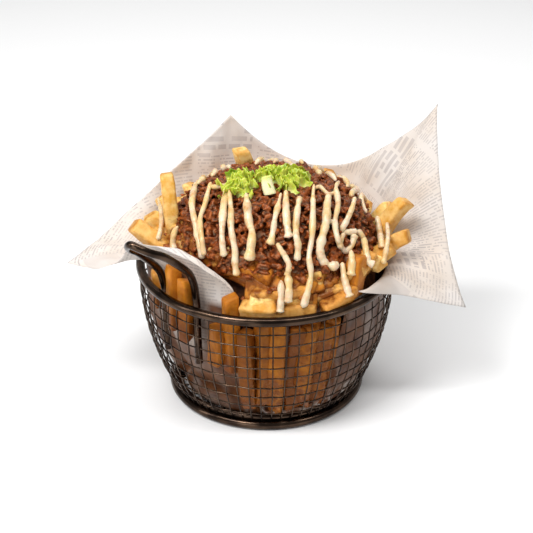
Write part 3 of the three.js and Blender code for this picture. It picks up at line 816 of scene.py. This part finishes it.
def build_paper():
    columns = [sheet_column(edge) for edge in sheet_edge()]
    runs = [lengths_along(column) for column in columns]
    count = len(columns)
    bm = bmesh.new()
    bmesh.ops.create_grid(bm, x_segments=count, y_segments=SHEET_ROWS, size=1)
    bm.verts.index_update()
    flat = bm.loops.layers.uv.new("sheet")
    grease_and_shade = bm.verts.layers.float.new("grease_and_shade")
    spread = {}
    for vert in bm.verts:
        i = round((vert.co.x + 1) / 2 * count)
        j = round((vert.co.y + 1) / 2 * SHEET_ROWS)
        point, free = columns[i % count][j]
        u, v = i * EDGE_STEP, runs[i % count][j]
        vert.co = point
        spread[vert.index] = (u, v, free)
        vert[grease_and_shade] = grease_and_painted_shade(point, u, v)
    crease(bm, spread, count * EDGE_STEP)
    lay_print(bm, spread, flat)
    bmesh.ops.remove_doubles(bm, verts=bm.verts, dist=0.02)
    bmesh.ops.recalc_face_normals(bm, faces=bm.faces)
    thicken(bm, PAPER_THICKNESS, flat)
    finish_piece("newspaper_sheet", bm, [printed_paper()], ["paper_liner"])


# Fries


def mound_height(x, y):
    """Height of the heap of fries, which is flat on top and steep at the sides."""
    r = min(1, math.hypot(x, y) / MOUND_RADIUS)
    return mix(MOUND_PEAK, BASKET_HEIGHT - 4, 0.15 * r**2 + 0.85 * r**4)


def core_reach(degrees, height):
    """How far out the core may reach, clear of the paper."""
    return min(paper_radius(degrees + d, height) for d in (-6, 0, 6)) - 5


def add_core(bm):
    """A solid filling the paper up to the mound, for what lies under the fries that show."""
    floor = PAPER_FLOOR + 1.5

    def place(angle, share):
        degrees = math.degrees(angle)
        top = core_reach(degrees, RIM_HEIGHT - 4)
        profile = [Vector((0, floor)), Vector((HEM_INSIDE - 8, floor))]
        profile += [Vector((core_reach(degrees, h), h)) for h in (14, 32, 50, RIM_HEIGHT - 4)]
        profile += [Vector((top * s, mound_height(top * s, 0))) for s in (0.84, 0.62, 0.34, 0)]
        spot = along_profile(profile, share)
        return polar(degrees, spot.x, spot.y)

    return add_round_form(bm, 72, 48, place)


# Length of a fry's end that isn't stretched
CAP = 1.5


def fry_mould():
    """A cut potato stick two thicknesses long, with soft edges, more toasted at edges and ends."""
    bm = bmesh.new()
    bmesh.ops.create_cube(bm, size=1)
    bmesh.ops.scale(bm, vec=(FRY, FRY, 2 * FRY), verts=bm.verts)
    bmesh.ops.bevel(
        bm, geom=bm.edges[:], offset=1.25, segments=2, profile=0.5, affect="EDGES", material=-1
    )
    long_edges = [e for e in bm.edges if abs(e.verts[0].co.z - e.verts[1].co.z) > FRY]
    bmesh.ops.subdivide_edges(bm, edges=long_edges, cuts=9)
    toast = bm.verts.layers.float.new("toast")
    for vert in bm.verts:
        x, y, z = (abs(c) for c in vert.co)
        corner = smooth((min(x, y) / (FRY / 2) - 0.55) / 0.4)
        end = smooth((z / FRY - 0.82) / 0.18)
        vert[toast] = max(0.75 * corner, 0.9 * end)
    return mould_of(bm, "tone", "juice_and_shade")


def fry_shape(start, end, draw, girth=1.0):
    """Where each point of the mould goes for one bent, uneven stick from start to end."""
    along = end - start
    half = along.length / 2
    wide, deep = girth * draw.uniform(0.88, 1.1), girth * draw.uniform(0.86, 1.06)
    bend = draw.uniform(-1, 1) * min(2.6, 0.07 * half * 2)
    twist = draw.uniform(-0.25, 0.25)
    slant = draw.uniform(-0.35, 0.35)
    offset = Vector((draw.uniform(0, 90), draw.uniform(0, 90), draw.uniform(0, 90)))
    roll = Matrix.Rotation(draw.uniform(0, math.pi / 2), 3, "Z")
    lie = along.to_track_quat("Z", "Y").to_matrix()
    middle = (start + end) / 2

    def place(co):
        sign = 1 if co.z > 0 else -1
        depth = FRY - abs(co.z)
        if depth < CAP:
            z = sign * (half - depth)
        else:
            z = co.z * (half - CAP) / (FRY - CAP)
        t = z / half
        slim = 1 - 0.1 * t * t
        local = Vector((co.x * wide * slim, co.y * deep * slim, z + slant * co.x * t * t * sign))
        local = Matrix.Rotation(twist * t, 3, "Z") @ local
        lump = noise.noise_vector(local / 6 + offset) * 0.55
        local += Vector((lump.x, lump.y, 0)) + Vector((bend * (1 - t * t), 0, 0))
        return middle + lie @ (roll @ local)

    return place


# The fries that show above the rim, each from its buried end to its free one
SHOWN_FRIES = [
    ((-44, -8, 72), (-48, -4, 118)),
    ((-42, -16, 78), (-64.5, -11, 94)),
    ((-40, 6, 74), (-58, 2, 92)),
    ((-10, 30, 78), (-13, 27, 117)),
    ((24, 38, 76), (33, 40, 99)),
    ((42, 24, 74), (51, 22, 89)),
    ((48, 9, 74), (62, 7, 95)),
    ((50.5, 0, 70), (68.5, 1, 101)),
    ((49, -8, 74), (69, -13, 89)),
    ((44, -17, 75), (60, -20, 87)),
    ((44, -12, 76), (54, -30, 82)),
    ((26, -38, 73), (46, -36, 86)),
    ((16, -49, 73), (36.5, -41.5, 78)),
    ((-8, -52, 75), (21, -50, 76)),
    ((-2, -46, 81), (26, -44, 83)),
    ((-8, -42, 74), (15, -54, 71)),
    ((-34, 36, 72), (-40, 42, 91)),
    ((-42, 22, 74), (-54, 28, 90)),
    ((6, 44, 74), (-4, 52, 92)),
    ((26, 40, 74), (42, 38, 90)),
    ((-30, 20, 91), (-4, 38, 90)),
    ((2, 36, 92), (28, 30, 91)),
    ((-36, 4, 92), (-24, 28, 97)),
    ((30, 30, 88), (46, 14, 89)),
]

# Fries that fill the front of the heap behind the rim, each with its own tone
FRONT_FRIES = [
    ((-12, -52.5, 71.5), (5, -55.5, 73), 0.45),
    ((3, -54.5, 70), (23, -53, 70.5), 0.65),
    ((-7, -50, 77.5), (20, -49, 79.5), 0.7),
    ((-6, -50, 74), (-3, -42, 90), 0.8),
    ((4, -37, 85), (8, -47, 84), 0.7),
    ((26, -52.5, 70), (41, -42, 76), 0.8),
    ((40.5, -41, 72), (43, -35, 90), 1.15),
    ((36, -38, 72), (50, -28, 88), 0.7),
    ((-3, -46, 68), (24, -50, 74), 0.9),
]

# Fries between the pushed-in paper and the wall: direction in degrees, height of foot and head
HANDLE_FRIES = [(200.5, 54, 73), (218.4, 50, 84), (227, 48, 80), (252.4, 36, 78)]
HANDLE_FRY_TONES = (0.7, 1.05, 1.1, 1.2)
MOUND_FRIES = 150


def wall_seat(degrees, height):
    """The middle of a fry that leans on the inside of the mesh."""
    room = min(wall_radius(height) - MESH_WIRE / 2, RIM_INSIDE)
    return polar(degrees, room - GAP - 0.2 - FRY / 2, height)


# Fries stand side by side against the mesh, on both sides of the fourth one by the handle
STANDING_PITCH = 7.9
STANDING_PLACES = range(-1, 8)
STANDING_LAST = 306


def standing_fries(draw):
    """Fries that stand against the mesh where the paper stays low, with uneven heads and feet."""
    sticks = []
    for place in STANDING_PLACES:
        if place == 0:
            continue
        degrees = HANDLE_FRIES[-1][0] + place * STANDING_PITCH + draw.uniform(-0.4, 0.4)
        degrees = min(degrees, STANDING_LAST)
        foot = draw.uniform(10, 22) if place > 0 else draw.uniform(36, 40)
        head = draw.uniform(60, 67)
        lean = draw.uniform(-1.2, 1.2) if degrees < STANDING_LAST else -1
        sticks.append((wall_seat(degrees, foot), wall_seat(degrees + lean, head)))
    return sticks


def mound_fries(draw):
    """Fries that lie on the mound every way, thickest round the meat and lower beneath it."""
    sticks = []
    for i in range(MOUND_FRIES):
        angle, share = sunflower(i, MOUND_FRIES)
        centre = polar(math.degrees(angle), mix(26, 54, share), 0)
        sunk = 4.5 * smooth((1.02 - from_meat_centre(centre.x, centre.y)) / 0.2)
        centre.z = mound_height(centre.x, centre.y) + draw.uniform(-2.5, 1.5) - sunk
        heading = draw.uniform(0, math.tau)
        half = draw.uniform(13, 24)
        side = Vector((math.cos(heading), math.sin(heading), 0)) * half
        ends = []
        for sign in (-1, 1):
            end = centre + side * sign
            limit = core_reach(compass(end), RIM_HEIGHT) - 0.5
            flat = math.hypot(end.x, end.y)
            if flat > limit:
                end.x, end.y = end.x * limit / flat, end.y * limit / flat
            end.z = mix(mound_height(end.x, end.y) + 1, centre.z, 0.45) + draw.uniform(-2, 3) - sunk / 2
            ends.append(end)
        if (ends[1] - ends[0]).length > 14:
            sticks.append(ends)
    return sticks


def stain_with_juice_and_shade(bm):
    """Meat juice on the fries, most beside the meat, and painted shade below the rim."""
    juice_and_shade = bm.verts.layers.float["juice_and_shade"]
    for vert in bm.verts:
        x, y, z = vert.co
        away = (from_meat_centre(x, y) - 1) * MEAT_REACH[1]
        height = z - mound_height(x, y)
        near = smooth(1 - away / 16) * smooth((18 - height) / 12)
        # Painted shade: fries below the rim, behind the mesh, are darkened through the juice value.
        shade_below_rim = smooth((RIM_HEIGHT - z) / 12)
        vert[juice_and_shade] = max(0.75 * near + 0.35 * grain(vert.co / 9), 0.3 * shade_below_rim)


def paint_shade_below(bm, foot):
    """Painted shade: the foot of a fry that stands by the handle is darkened to deep brown below the rim.
    """
    tone = bm.verts.layers.float["tone"]
    for vert in bm.verts:
        vert[tone] = mix(2, vert[tone], smooth((vert.co.z - foot - 6) / 12))


def potato_bmesh():
    """An empty bmesh with the values that the potato's finish reads."""
    bm = bmesh.new()
    for name in ("tone", "toast", "juice_and_shade"):
        bm.verts.layers.float.new(name)
    return bm


def add_fry(bm, mould, start, end, draw, tone, girth=1.0):
    stamp(bm, mould, fry_shape(Vector(start), Vector(end), draw, girth), tone=tone)


def build_fries():
    """All the fries. Gives a tree of the heap's faces, for what is laid on it."""
    finishes = [fried_potato(), dark_core()]
    mould = fry_mould()
    draw = random.Random(41)
    bm = potato_bmesh()
    for start, end in SHOWN_FRIES:
        add_fry(bm, mould, start, end, draw, draw.uniform(0, 0.5), 1.04)
    for start, end, tone in FRONT_FRIES:
        add_fry(bm, mould, start, end, draw, tone, 1.02)
    for start, end in standing_fries(draw):
        # Painted shade: the fries behind the mesh get deep brown tones.
        add_fry(bm, mould, start, end, draw, draw.uniform(1.3, 1.95), 1.12)
    for start, end in mound_fries(draw):
        # Painted shade: fries at the front of the heap, seen in the gaps between the front fries, are
        # darkened towards deep brown.
        front_shade = smooth((-28 - (start.y + end.y) / 2) / 8)
        add_fry(bm, mould, start, end, draw, draw.uniform(0, 1) + 0.95 * front_shade)
    stain_with_juice_and_shade(bm)
    for vert in add_core(bm):
        for face in vert.link_faces:
            face.material_index = 1
    tree = BVHTree.FromBMesh(bm)
    finish_piece("heap_of_fries", bm, finishes, ["fries"])
    for i, ((degrees, foot, head), tone) in enumerate(zip(HANDLE_FRIES, HANDLE_FRY_TONES), 1):
        bm = potato_bmesh()
        add_fry(bm, mould, wall_seat(degrees, foot), wall_seat(degrees, head), draw, tone, 0.94)
        paint_shade_below(bm, foot)
        finish_piece(f"stick_by_handle_{i}", bm, finishes[:1], [f"fry_by_handle_{i}"])
    bpy.data.meshes.remove(mould[0])
    return tree


# Minced meat

# Crumbs of each kind: how many, least and greatest size, how far above the bed they lie, and detail
CRUMBS = [(170, 1.9, 3.3, -0.2, 2), (700, 1.0, 1.9, 0.4, 2), (700, 0.6, 1.1, 0.9, 1)]
FALLEN_CRUMBS = 420

# The skin's mesh: its grain in millimetres, and how far it is thinned out where it is flat
MEAT_GRAIN = 0.55
MEAT_THINNING = 0.22


def from_meat_centre(x, y):
    """Share of the way from the meat's centre to its edge."""
    return math.hypot((x - MEAT_CENTRE[0]) / MEAT_REACH[0], (y - MEAT_CENTRE[1]) / MEAT_REACH[1])


def meat_spot(angle, share):
    """The place at an angle and a share of the way to the meat's edge."""
    return (
        MEAT_CENTRE[0] + MEAT_REACH[0] * share * math.cos(angle),
        MEAT_CENTRE[1] + MEAT_REACH[1] * share * math.sin(angle),
    )


def meat_height(x, y):
    """Height of the meat's surface, which thins towards its edge and is piled up on the right."""
    thickness = MEAT_THICKNESS * math.sqrt(max(0.05, 1 - 0.9 * from_meat_centre(x, y) ** 2))
    shoulder = MEAT_SHOULDER["rise"] * smooth((x - MEAT_SHOULDER["from"]) / MEAT_SHOULDER["run"])
    return mound_height(x, y) + 1.2 + thickness + shoulder


def add_meat_bed(bm):
    """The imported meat, with lumps and gaps the size of crumbs all over."""

    def place(angle, share):
        out = math.sin(math.pi * share)
        ragged = 0.96 + 0.05 * math.sin(5 * angle + 1) + 0.03 * math.sin(11 * angle)
        x, y = meat_spot(angle, out * ragged)
        if share <= 0.5:
            return Vector((x, y, mound_height(x, y) - 2))
        lumps = 1.5 * grain(Vector((x, y, share)) / 5)
        crumbs = noise.voronoi(Vector((x / 3.1, y / 3.1, 0.5)))[0][0]
        return Vector((x, y, meat_height(x, y) - 0.9 + lumps - 2.2 * crumbs))

    return add_round_form(bm, 150, 110, place)


def crumb_mould(detail):
    """A ball to be torn into crumbs."""
    bm = bmesh.new()
    bmesh.ops.create_icosphere(bm, subdivisions=detail, radius=1)
    return mould_of(bm)


def crumb_shape(centre, size, draw):
    """Where each point of the mould goes for one torn, lumpy crumb."""
    offset = Vector((draw.uniform(0, 90), draw.uniform(0, 90), draw.uniform(0, 90)))
    turn = Matrix.Rotation(draw.uniform(0, math.tau), 3, "Z")
    turn = turn @ Matrix.Rotation(draw.uniform(-0.9, 0.9), 3, "X")
    stretch = Vector((draw.uniform(0.95, 1.9), draw.uniform(0.6, 1.0), draw.uniform(0.5, 0.85)))

    def place(co):
        torn = 1 + 0.65 * grain(co * 1.3 + offset) + 0.35 * grain(co * 3 + offset)
        return centre + turn @ (co * (torn * size) * stretch)

    return place


def one_skin(bm):
    """The same form as one closed skin, so that the crumbs cling together like cooked meat."""
    mesh = bpy.data.meshes.new("lump")
    bm.to_mesh(mesh)
    bm.free()
    holder = bpy.data.objects.new("lump", mesh)
    bpy.context.scene.collection.objects.link(holder)
    skin = holder.modifiers.new("skin", "REMESH")
    skin.mode = "VOXEL"
    skin.voxel_size = MEAT_GRAIN
    skin.adaptivity = MEAT_THINNING
    bpy.context.view_layer.update()
    seen = holder.evaluated_get(bpy.context.evaluated_depsgraph_get())
    whole = bpy.data.meshes.new_from_object(seen)
    bm = bmesh.new()
    bm.from_mesh(whole)
    bpy.data.objects.remove(holder)
    bpy.data.meshes.remove(mesh)
    bpy.data.meshes.remove(whole)
    return bm


def paint_hollow_shade(bm):
    """Relax the skin once, and paint shade into its tone: darker in its hollows and lighter where crumbs
    stand out, over a random tone from crumb to crumb.
    """
    tone = bm.verts.layers.float.new("tone")
    bm.normal_update()
    moved = []
    for vert in bm.verts:
        near = [edge.other_vert(vert).co for edge in vert.link_edges]
        middle = sum(near, Vector()) / len(near)
        hollow = (middle - vert.co).dot(vert.normal) / MEAT_GRAIN
        crumb = grain(vert.co / 2.4) + 0.5 * grain(vert.co / 7)
        # Painted shade and light: hollows are darkened and bumps lightened, over a random crumb tone.
        vert[tone] = min(1, max(0, 0.4 + 0.55 * crumb - 2.2 * hollow))
        moved.append(vert.co.lerp(middle, 0.25))
    for vert, place in zip(bm.verts, moved):
        vert.co = place


def build_meat(fries_tree):
    """The meat on the heap, with fallen crumbs round it. Gives a tree of its faces."""
    moulds = {detail: crumb_mould(detail) for detail in (1, 2)}
    draw = random.Random(7)
    bm = bmesh.new()
    add_meat_bed(bm)
    for count, low, high, lift, detail in CRUMBS:
        for i in range(count):
            angle, share = sunflower(i, count)
            x, y = meat_spot(angle + count, 1.02 * share)
            x, y = x + draw.uniform(-1, 1), y + draw.uniform(-1, 1)
            centre = Vector((x, y, meat_height(x, y) + lift + draw.uniform(-1.2, 0.8)))
            stamp(bm, moulds[detail], crumb_shape(centre, draw.uniform(low, high), draw))
    for i in range(FALLEN_CRUMBS):
        x, y = meat_spot(draw.uniform(0, math.tau), 0.9 + 0.28 * draw.random() ** 1.5)
        spot = fries_tree.ray_cast(Vector((x, y, 160)), Vector((0, 0, -1)))[0]
        if spot and math.hypot(x, y) < RIM_INSIDE - 6 and spot.z < 104:
            size = draw.uniform(0.8, 2.0)
            shape = crumb_shape(spot + Vector((0, 0, size * 0.3)), size, draw)
            stamp(bm, moulds[2 if size > 1.3 else 1], shape)
    for mesh, _ in moulds.values():
        bpy.data.meshes.remove(mesh)
    bm = one_skin(bm)
    paint_hollow_shade(bm)
    tree = BVHTree.FromBMesh(bm)
    finish_piece("meat_crumbs", bm, [cooked_mince()], ["minced_meat"])
    return tree


# Sauce

VIEW_BACK = Vector((0, -math.cos(VIEW_ELEVATION), math.sin(VIEW_ELEVATION)))
VIEW_UP = Vector((0, math.sin(VIEW_ELEVATION), math.cos(VIEW_ELEVATION)))
CAMERA_PLACE = VIEW_AIM + VIEW_BACK * VIEW_DISTANCE


def sight_line(pixel):
    """The direction from the camera through a pixel of the photograph."""
    right = (pixel[0] - PHOTO_SIZE / 2) / FOCAL_PIXELS
    up = (PHOTO_SIZE / 2 - pixel[1]) / FOCAL_PIXELS
    return (VIEW_UP * up - VIEW_BACK + Vector((right, 0, 0))).normalized()


# Ribbons of sauce as the photograph shows them: width in millimetres, how much thicker the drop at
# the end is, and the pixels they run through
PHOTO_RIBBONS = [
    (2.8, 0.3, [(197, 181), (194, 190), (192, 206), (196, 226), (199, 242), (203, 259)]),
    (2.3, 0.0, [(211, 182), (208, 192), (205, 204), (200, 220), (202, 240), (204, 256)]),
    (3.1, 0.1, [(227, 183), (225, 197), (223, 214), (222, 238), (224, 257)]),
    (2.8, 0.2, [(229, 190), (231, 210), (231, 228), (235, 250), (235, 262), (237, 276)]),
    (3.6, 0.55, [(246, 193), (247, 204), (249, 222), (252, 232), (251, 246), (249, 261)]),
    (2.5, 0.5, [(281, 193), (278, 206), (275, 218), (273, 232), (270, 245)]),
    (3.2, 0.3, [(286, 190), (286, 208), (287, 224), (289, 238)]),
    (2.4, 0.2, [(277, 243), (281, 250), (286, 258), (289, 266), (287, 276)]),
    (3.0, 0.4, [(281, 280), (281, 298), (280, 313)]),
    (3.4, 0.3, [(288, 275), (289, 288), (288, 303)]),
    (2.8, 0.1, [(300, 196), (298, 206), (296, 222), (296, 234), (298, 246), (297, 261)]),
    (2.5, 0.35, [(314, 184), (313, 196), (313, 208), (312, 236),
                 (309, 256), (311, 274), (308, 290), (303, 308)]),
    (3.6, 0.0, [(329, 193), (327, 206), (326, 222), (322, 238),
                (320, 250), (323, 261), (331, 266), (339, 264)]),
    (2.4, 0.1, [(339, 181), (336, 188), (338, 204), (335, 222), (337, 236), (341, 248)]),
    (2.6, 0.0, [(355, 197), (352, 208), (347, 220), (342, 230), (348, 232), (357, 231)]),
    (2.9, 0.2, [(344, 233), (340, 243), (345, 251), (351, 246), (355, 234)]),
    (2.7, 0.3, [(357, 230), (363, 238), (366, 250), (368, 261), (374, 265)]),
    (2.8, 0.2, [(377, 216), (379, 228), (381, 240), (382, 248)]),
    (2.2, 0.2, [(387, 222), (388, 236), (386, 250), (383, 264)]),
    (3.0, 0.4, [(342, 262), (344, 276), (347, 288), (350, 297)]),
    (3.2, 0.3, [(351, 250), (352, 262), (351, 276)]),
    (2.7, 0.4, [(178, 226), (174, 234), (173, 243), (174, 249)]),
    (2.0, 0.1, [(158, 198), (161, 212), (161, 226), (158, 240)]),
    (2.2, 0.0, [(208, 186), (215, 187), (223, 186), (229, 189)]),
    (2.4, 0.2, [(393, 262), (399, 256), (405, 251), (408, 243)]),
    (1.9, 0.0, [(312, 190), (320, 187), (328, 194), (334, 193)]),
    (2.1, 0.0, [(326, 220), (332, 222), (338, 226)]),
]

# Ribbons over the crown and the far side: X, and Y of its two ends
BACK_RIBBONS = [
    (-33, 6, 27), (-27, 10, 32), (-20, 14, 37), (-4, 16, 35), (3, 18, 37), (11, 17, 33),
    (19, 18, 36), (26, 10, 35), (32, 6, 32), (38, 2, 28), (43, -4, 22), (48, -6, 14),
]

# How many steps a ribbon bridges, and where along it the drop at its end begins
BRIDGE = 4
DROP_FROM = 0.86


def settle(depths):
    """Depths of a ribbon that bridges small gaps: it stays near the highest points under it."""
    windows = [slice(max(0, i - BRIDGE), i + BRIDGE + 1) for i in range(len(depths))]
    nearest = [min(depths[window]) for window in windows]
    return [sum(nearest[window]) / len(nearest[window]) for window in windows]


def laid_ribbon(lines, width, drop, trees, draw):
    """A ribbon laid on the food where the lines, each a start and a direction, first meet it."""
    depths = []
    for start, way in lines:
        hits = [tree.ray_cast(start, way)[3] for tree in trees]
        depths.append(min((h for h in hits if h is not None), default=None))
    kept = [(line, depth) for line, depth in zip(lines, depths) if depth is not None]
    if len(kept) < 4:
        return []
    seed = draw.uniform(0, 90)
    top = draw.uniform(0.5, 0.9)
    settled = settle([depth for _, depth in kept])
    route = []
    for i, (((start, way), _), depth) in enumerate(zip(kept, settled)):
        share = i / (len(kept) - 1)
        beads = 0.35 * grain(Vector((i / 6, seed, 0))) + 0.1 * grain(Vector((i / 2.5, 0, seed)))
        ends = min(smooth((share + 0.02) / 0.06), smooth((1.01 - share) / 0.035))
        girth = mix(top, 1, smooth(share / 0.3)) + beads + drop * smooth((share - DROP_FROM) / 0.1)
        point = start + way * (depth - width * 0.16)
        route.append((*point, max(0.12, girth * ends) * SAUCE_SWELL * width / SAUCE_WIDTH))
    return route


def build_sauce(trees):
    """The ribbons in the photograph, laid along its lines of sight, and those on the far side."""
    draw = random.Random(19)
    routes = []
    for width, drop, pixels in PHOTO_RIBBONS:
        path = smooth_route([(*pixel, 0) for pixel in pixels], 10)
        lines = [(CAMERA_PLACE, sight_line(pixel)) for pixel in path]
        routes.append(laid_ribbon(lines, width, drop, trees, draw))
    for x, near, far in BACK_RIBBONS:
        lines = []
        for k in range(31):
            y = mix(near, far, k / 30)
            sway = x + 1.8 * math.sin(y / 5 + x)
            lines.append((Vector((sway, y, 170)), Vector((0, 0, -1))))
        routes.append(laid_ribbon(lines, draw.uniform(2.2, 3.2), 0.3, trees, draw))
    bm = bmesh.new()
    add_wires(bm, [route for route in routes if route], SAUCE_WIDTH, roundness=3)
    finish_piece("sauce_ribbons", bm, [pale_sauce()])


# Lettuce

LETTUCE = [
    {"name": "left", "at": (-13.5, -11.5), "wide": 5.5, "deep": 10, "leaves": 13, "seed": 3},
    {"name": "right", "at": (6.5, -6.5), "wide": 12.5, "deep": 9, "leaves": 25, "seed": 8},
]
LETTUCE_HEIGHT = 4.5
STALK = {"at": (0.5, -17.4), "width": 6, "length": 9, "thickness": 3, "lean": -20, "roll": -12, "lift": 4.7}


def add_leaf(bm, foot, length, width, draw):
    """A torn piece of leaf that stands on its rib, with a tightly frilled outer edge."""
    made = bmesh.ops.create_grid(bm, x_segments=30, y_segments=7, size=1)
    rim = bm.verts.layers.float["rim"]
    lie = Matrix.Rotation(draw.uniform(0, math.tau), 3, "Z")
    lie = lie @ Matrix.Rotation(draw.uniform(0.1, 1.25), 3, "X")
    curl = draw.uniform(0.02, 0.09)
    frill = draw.uniform(1.2, 2.0)
    waves = draw.uniform(1.4, 2.4)
    start = draw.uniform(0, math.tau)
    for vert in made["verts"]:
        along, up = vert.co.x, (vert.co.y + 1) / 2
        turn = waves * math.pi * along + start
        ripple = math.sin(turn) + 0.5 * math.sin(2.4 * turn + 1) + 0.15 * math.sin(5.1 * turn)
        bent = along * length / 2 * (1 + 0.25 * up)
        height = up * width * (1 - 0.35 * along * along) + 0.5 * up * math.cos(2.1 * turn)
        aside = frill * up**1.6 * ripple + curl * height * height - 0.03 * bent * bent
        local = Vector((bent, height, aside))
        vert[rim] = smooth(up * 1.15)
        vert.co = foot + lie @ local


def build_lettuce():
    leaf = fresh_lettuce()
    for heap in LETTUCE:
        draw = random.Random(heap["seed"])
        bm = bmesh.new()
        bm.verts.layers.float.new("rim")
        for i in range(heap["leaves"]):
            angle, share = sunflower(i, heap["leaves"])
            x = heap["at"][0] + 0.8 * heap["wide"] * share * math.cos(angle)
            y = heap["at"][1] + 0.8 * heap["deep"] * share * math.sin(angle)
            dome = (LETTUCE_HEIGHT - 3.2) * (1 - share**2) * draw.uniform(0.3, 1)
            foot = Vector((x, y, meat_height(x, y) - 0.2 + dome))
            add_leaf(bm, foot, draw.uniform(9, 14), draw.uniform(5, 7.5), draw)
        bmesh.ops.solidify(bm, geom=bm.faces[:], thickness=0.25)
        name = heap["name"]
        finish_piece(f"lettuce_shreds_{name}", bm, [leaf], [f"lettuce_{name}"])


def build_stalk():
    bm = bmesh.new()
    rim = bm.verts.layers.float.new("rim")
    width = STALK["width"]
    half = STALK["length"] / 2
    bmesh.ops.create_cone(
        bm, cap_ends=True, segments=20, radius1=width / 2, radius2=width / 2.3, depth=2 * half
    )
    long_edges = [e for e in bm.edges if abs(e.verts[0].co.z - e.verts[1].co.z) > half]
    bmesh.ops.subdivide_edges(bm, edges=long_edges, cuts=6)
    caps = [e for e in bm.edges if all(abs(abs(v.co.z) - half) < 0.01 for v in e.verts)]
    bmesh.ops.bevel(bm, geom=caps, offset=0.5, segments=2, profile=0.5, affect="EDGES", material=-1)
    lean = Matrix.Rotation(math.radians(STALK["lean"]), 3, "X")
    lean = lean @ Matrix.Rotation(math.radians(STALK["roll"]), 3, "Y")
    x, y = STALK["at"]
    foot = Vector((x, y, meat_height(x, y) + STALK["lift"]))
    for vert in bm.verts:
        share = vert.co.z / half
        ridges = 1 + 0.05 * math.sin(7 * math.atan2(vert.co.y, vert.co.x))
        flat = vert.co.y * STALK["thickness"] / width * ridges
        local = Vector((vert.co.x * ridges, flat, vert.co.z))
        local.x += 0.5 * share * share
        vert[rim] = smooth((share - 0.2) / 0.8)
        vert.co = foot + lean @ local
    finish_piece("stalk_cut", bm, [crisp_stalk()], ["lettuce_stalk"])


# Room

# Soft lights round the table: name, place and size in metres, and power in watts
SOFTBOXES = [
    ("key_softbox", (-0.35, -0.4, 0.85), (0.3, 0.3), 4.6),
    ("low_softbox", (-0.45, -0.95, 0.3), (0.5, 0.4), 1.6),
    ("strip_above", (0, -0.3, 1.0), (1.6, 0.12), 7.2),
    ("back_softbox", (0.1, 0.6, 0.8), (1.1, 0.2), 4),
    ("strip_left", (-0.9, -0.3, 0.45), (0.15, 0.6), 1.6),
]
LIT_POINT = Vector((0, 0, 0.06))
ROOM_LIGHT = 0.27


def aim_at(holder, place, target):
    holder.location = place
    holder.rotation_euler = (target - place).to_track_quat("-Z", "Y").to_euler()
    bpy.context.collection.objects.link(holder)


def add_softbox(name, place, size, power):
    light = bpy.data.lights.new(name, "AREA")
    light.shape = "RECTANGLE"
    light.size, light.size_y = size
    light.energy = power
    aim_at(bpy.data.objects.new(name, light), Vector(place), LIT_POINT)


def build_camera():
    lens = bpy.data.cameras.new("camera")
    lens.sensor_width = 36
    lens.lens = 36 * FOCAL_PIXELS / PHOTO_SIZE
    lens.clip_start = 0.01
    camera = bpy.data.objects.new("camera", lens)
    aim_at(camera, CAMERA_PLACE * MM, VIEW_AIM * MM)
    bpy.context.scene.camera = camera


def build_room():
    bm = bmesh.new()
    bmesh.ops.create_grid(bm, x_segments=1, y_segments=1, size=6)
    mesh = bpy.data.meshes.new("floor")
    bm.to_mesh(mesh)
    bm.free()
    mesh.materials.append(plain_floor())
    floor = bpy.data.objects.new("floor", mesh)
    bpy.context.collection.objects.link(floor)
    for softbox in SOFTBOXES:
        add_softbox(*softbox)
    world = bpy.data.worlds.new("studio")
    world.use_nodes = True
    background = world.node_tree.nodes["Background"]
    background.inputs["Color"].default_value = (1, 1, 1, 1)
    background.inputs["Strength"].default_value = ROOM_LIGHT
    bpy.context.scene.world = world
    bpy.context.scene.view_settings.view_transform = "Standard"


build_camera()
build_basket()
build_paper()
heap_tree = build_fries()
meat_tree = build_meat(heap_tree)
build_sauce([heap_tree, meat_tree])
build_lettuce()
build_stalk()
build_room()
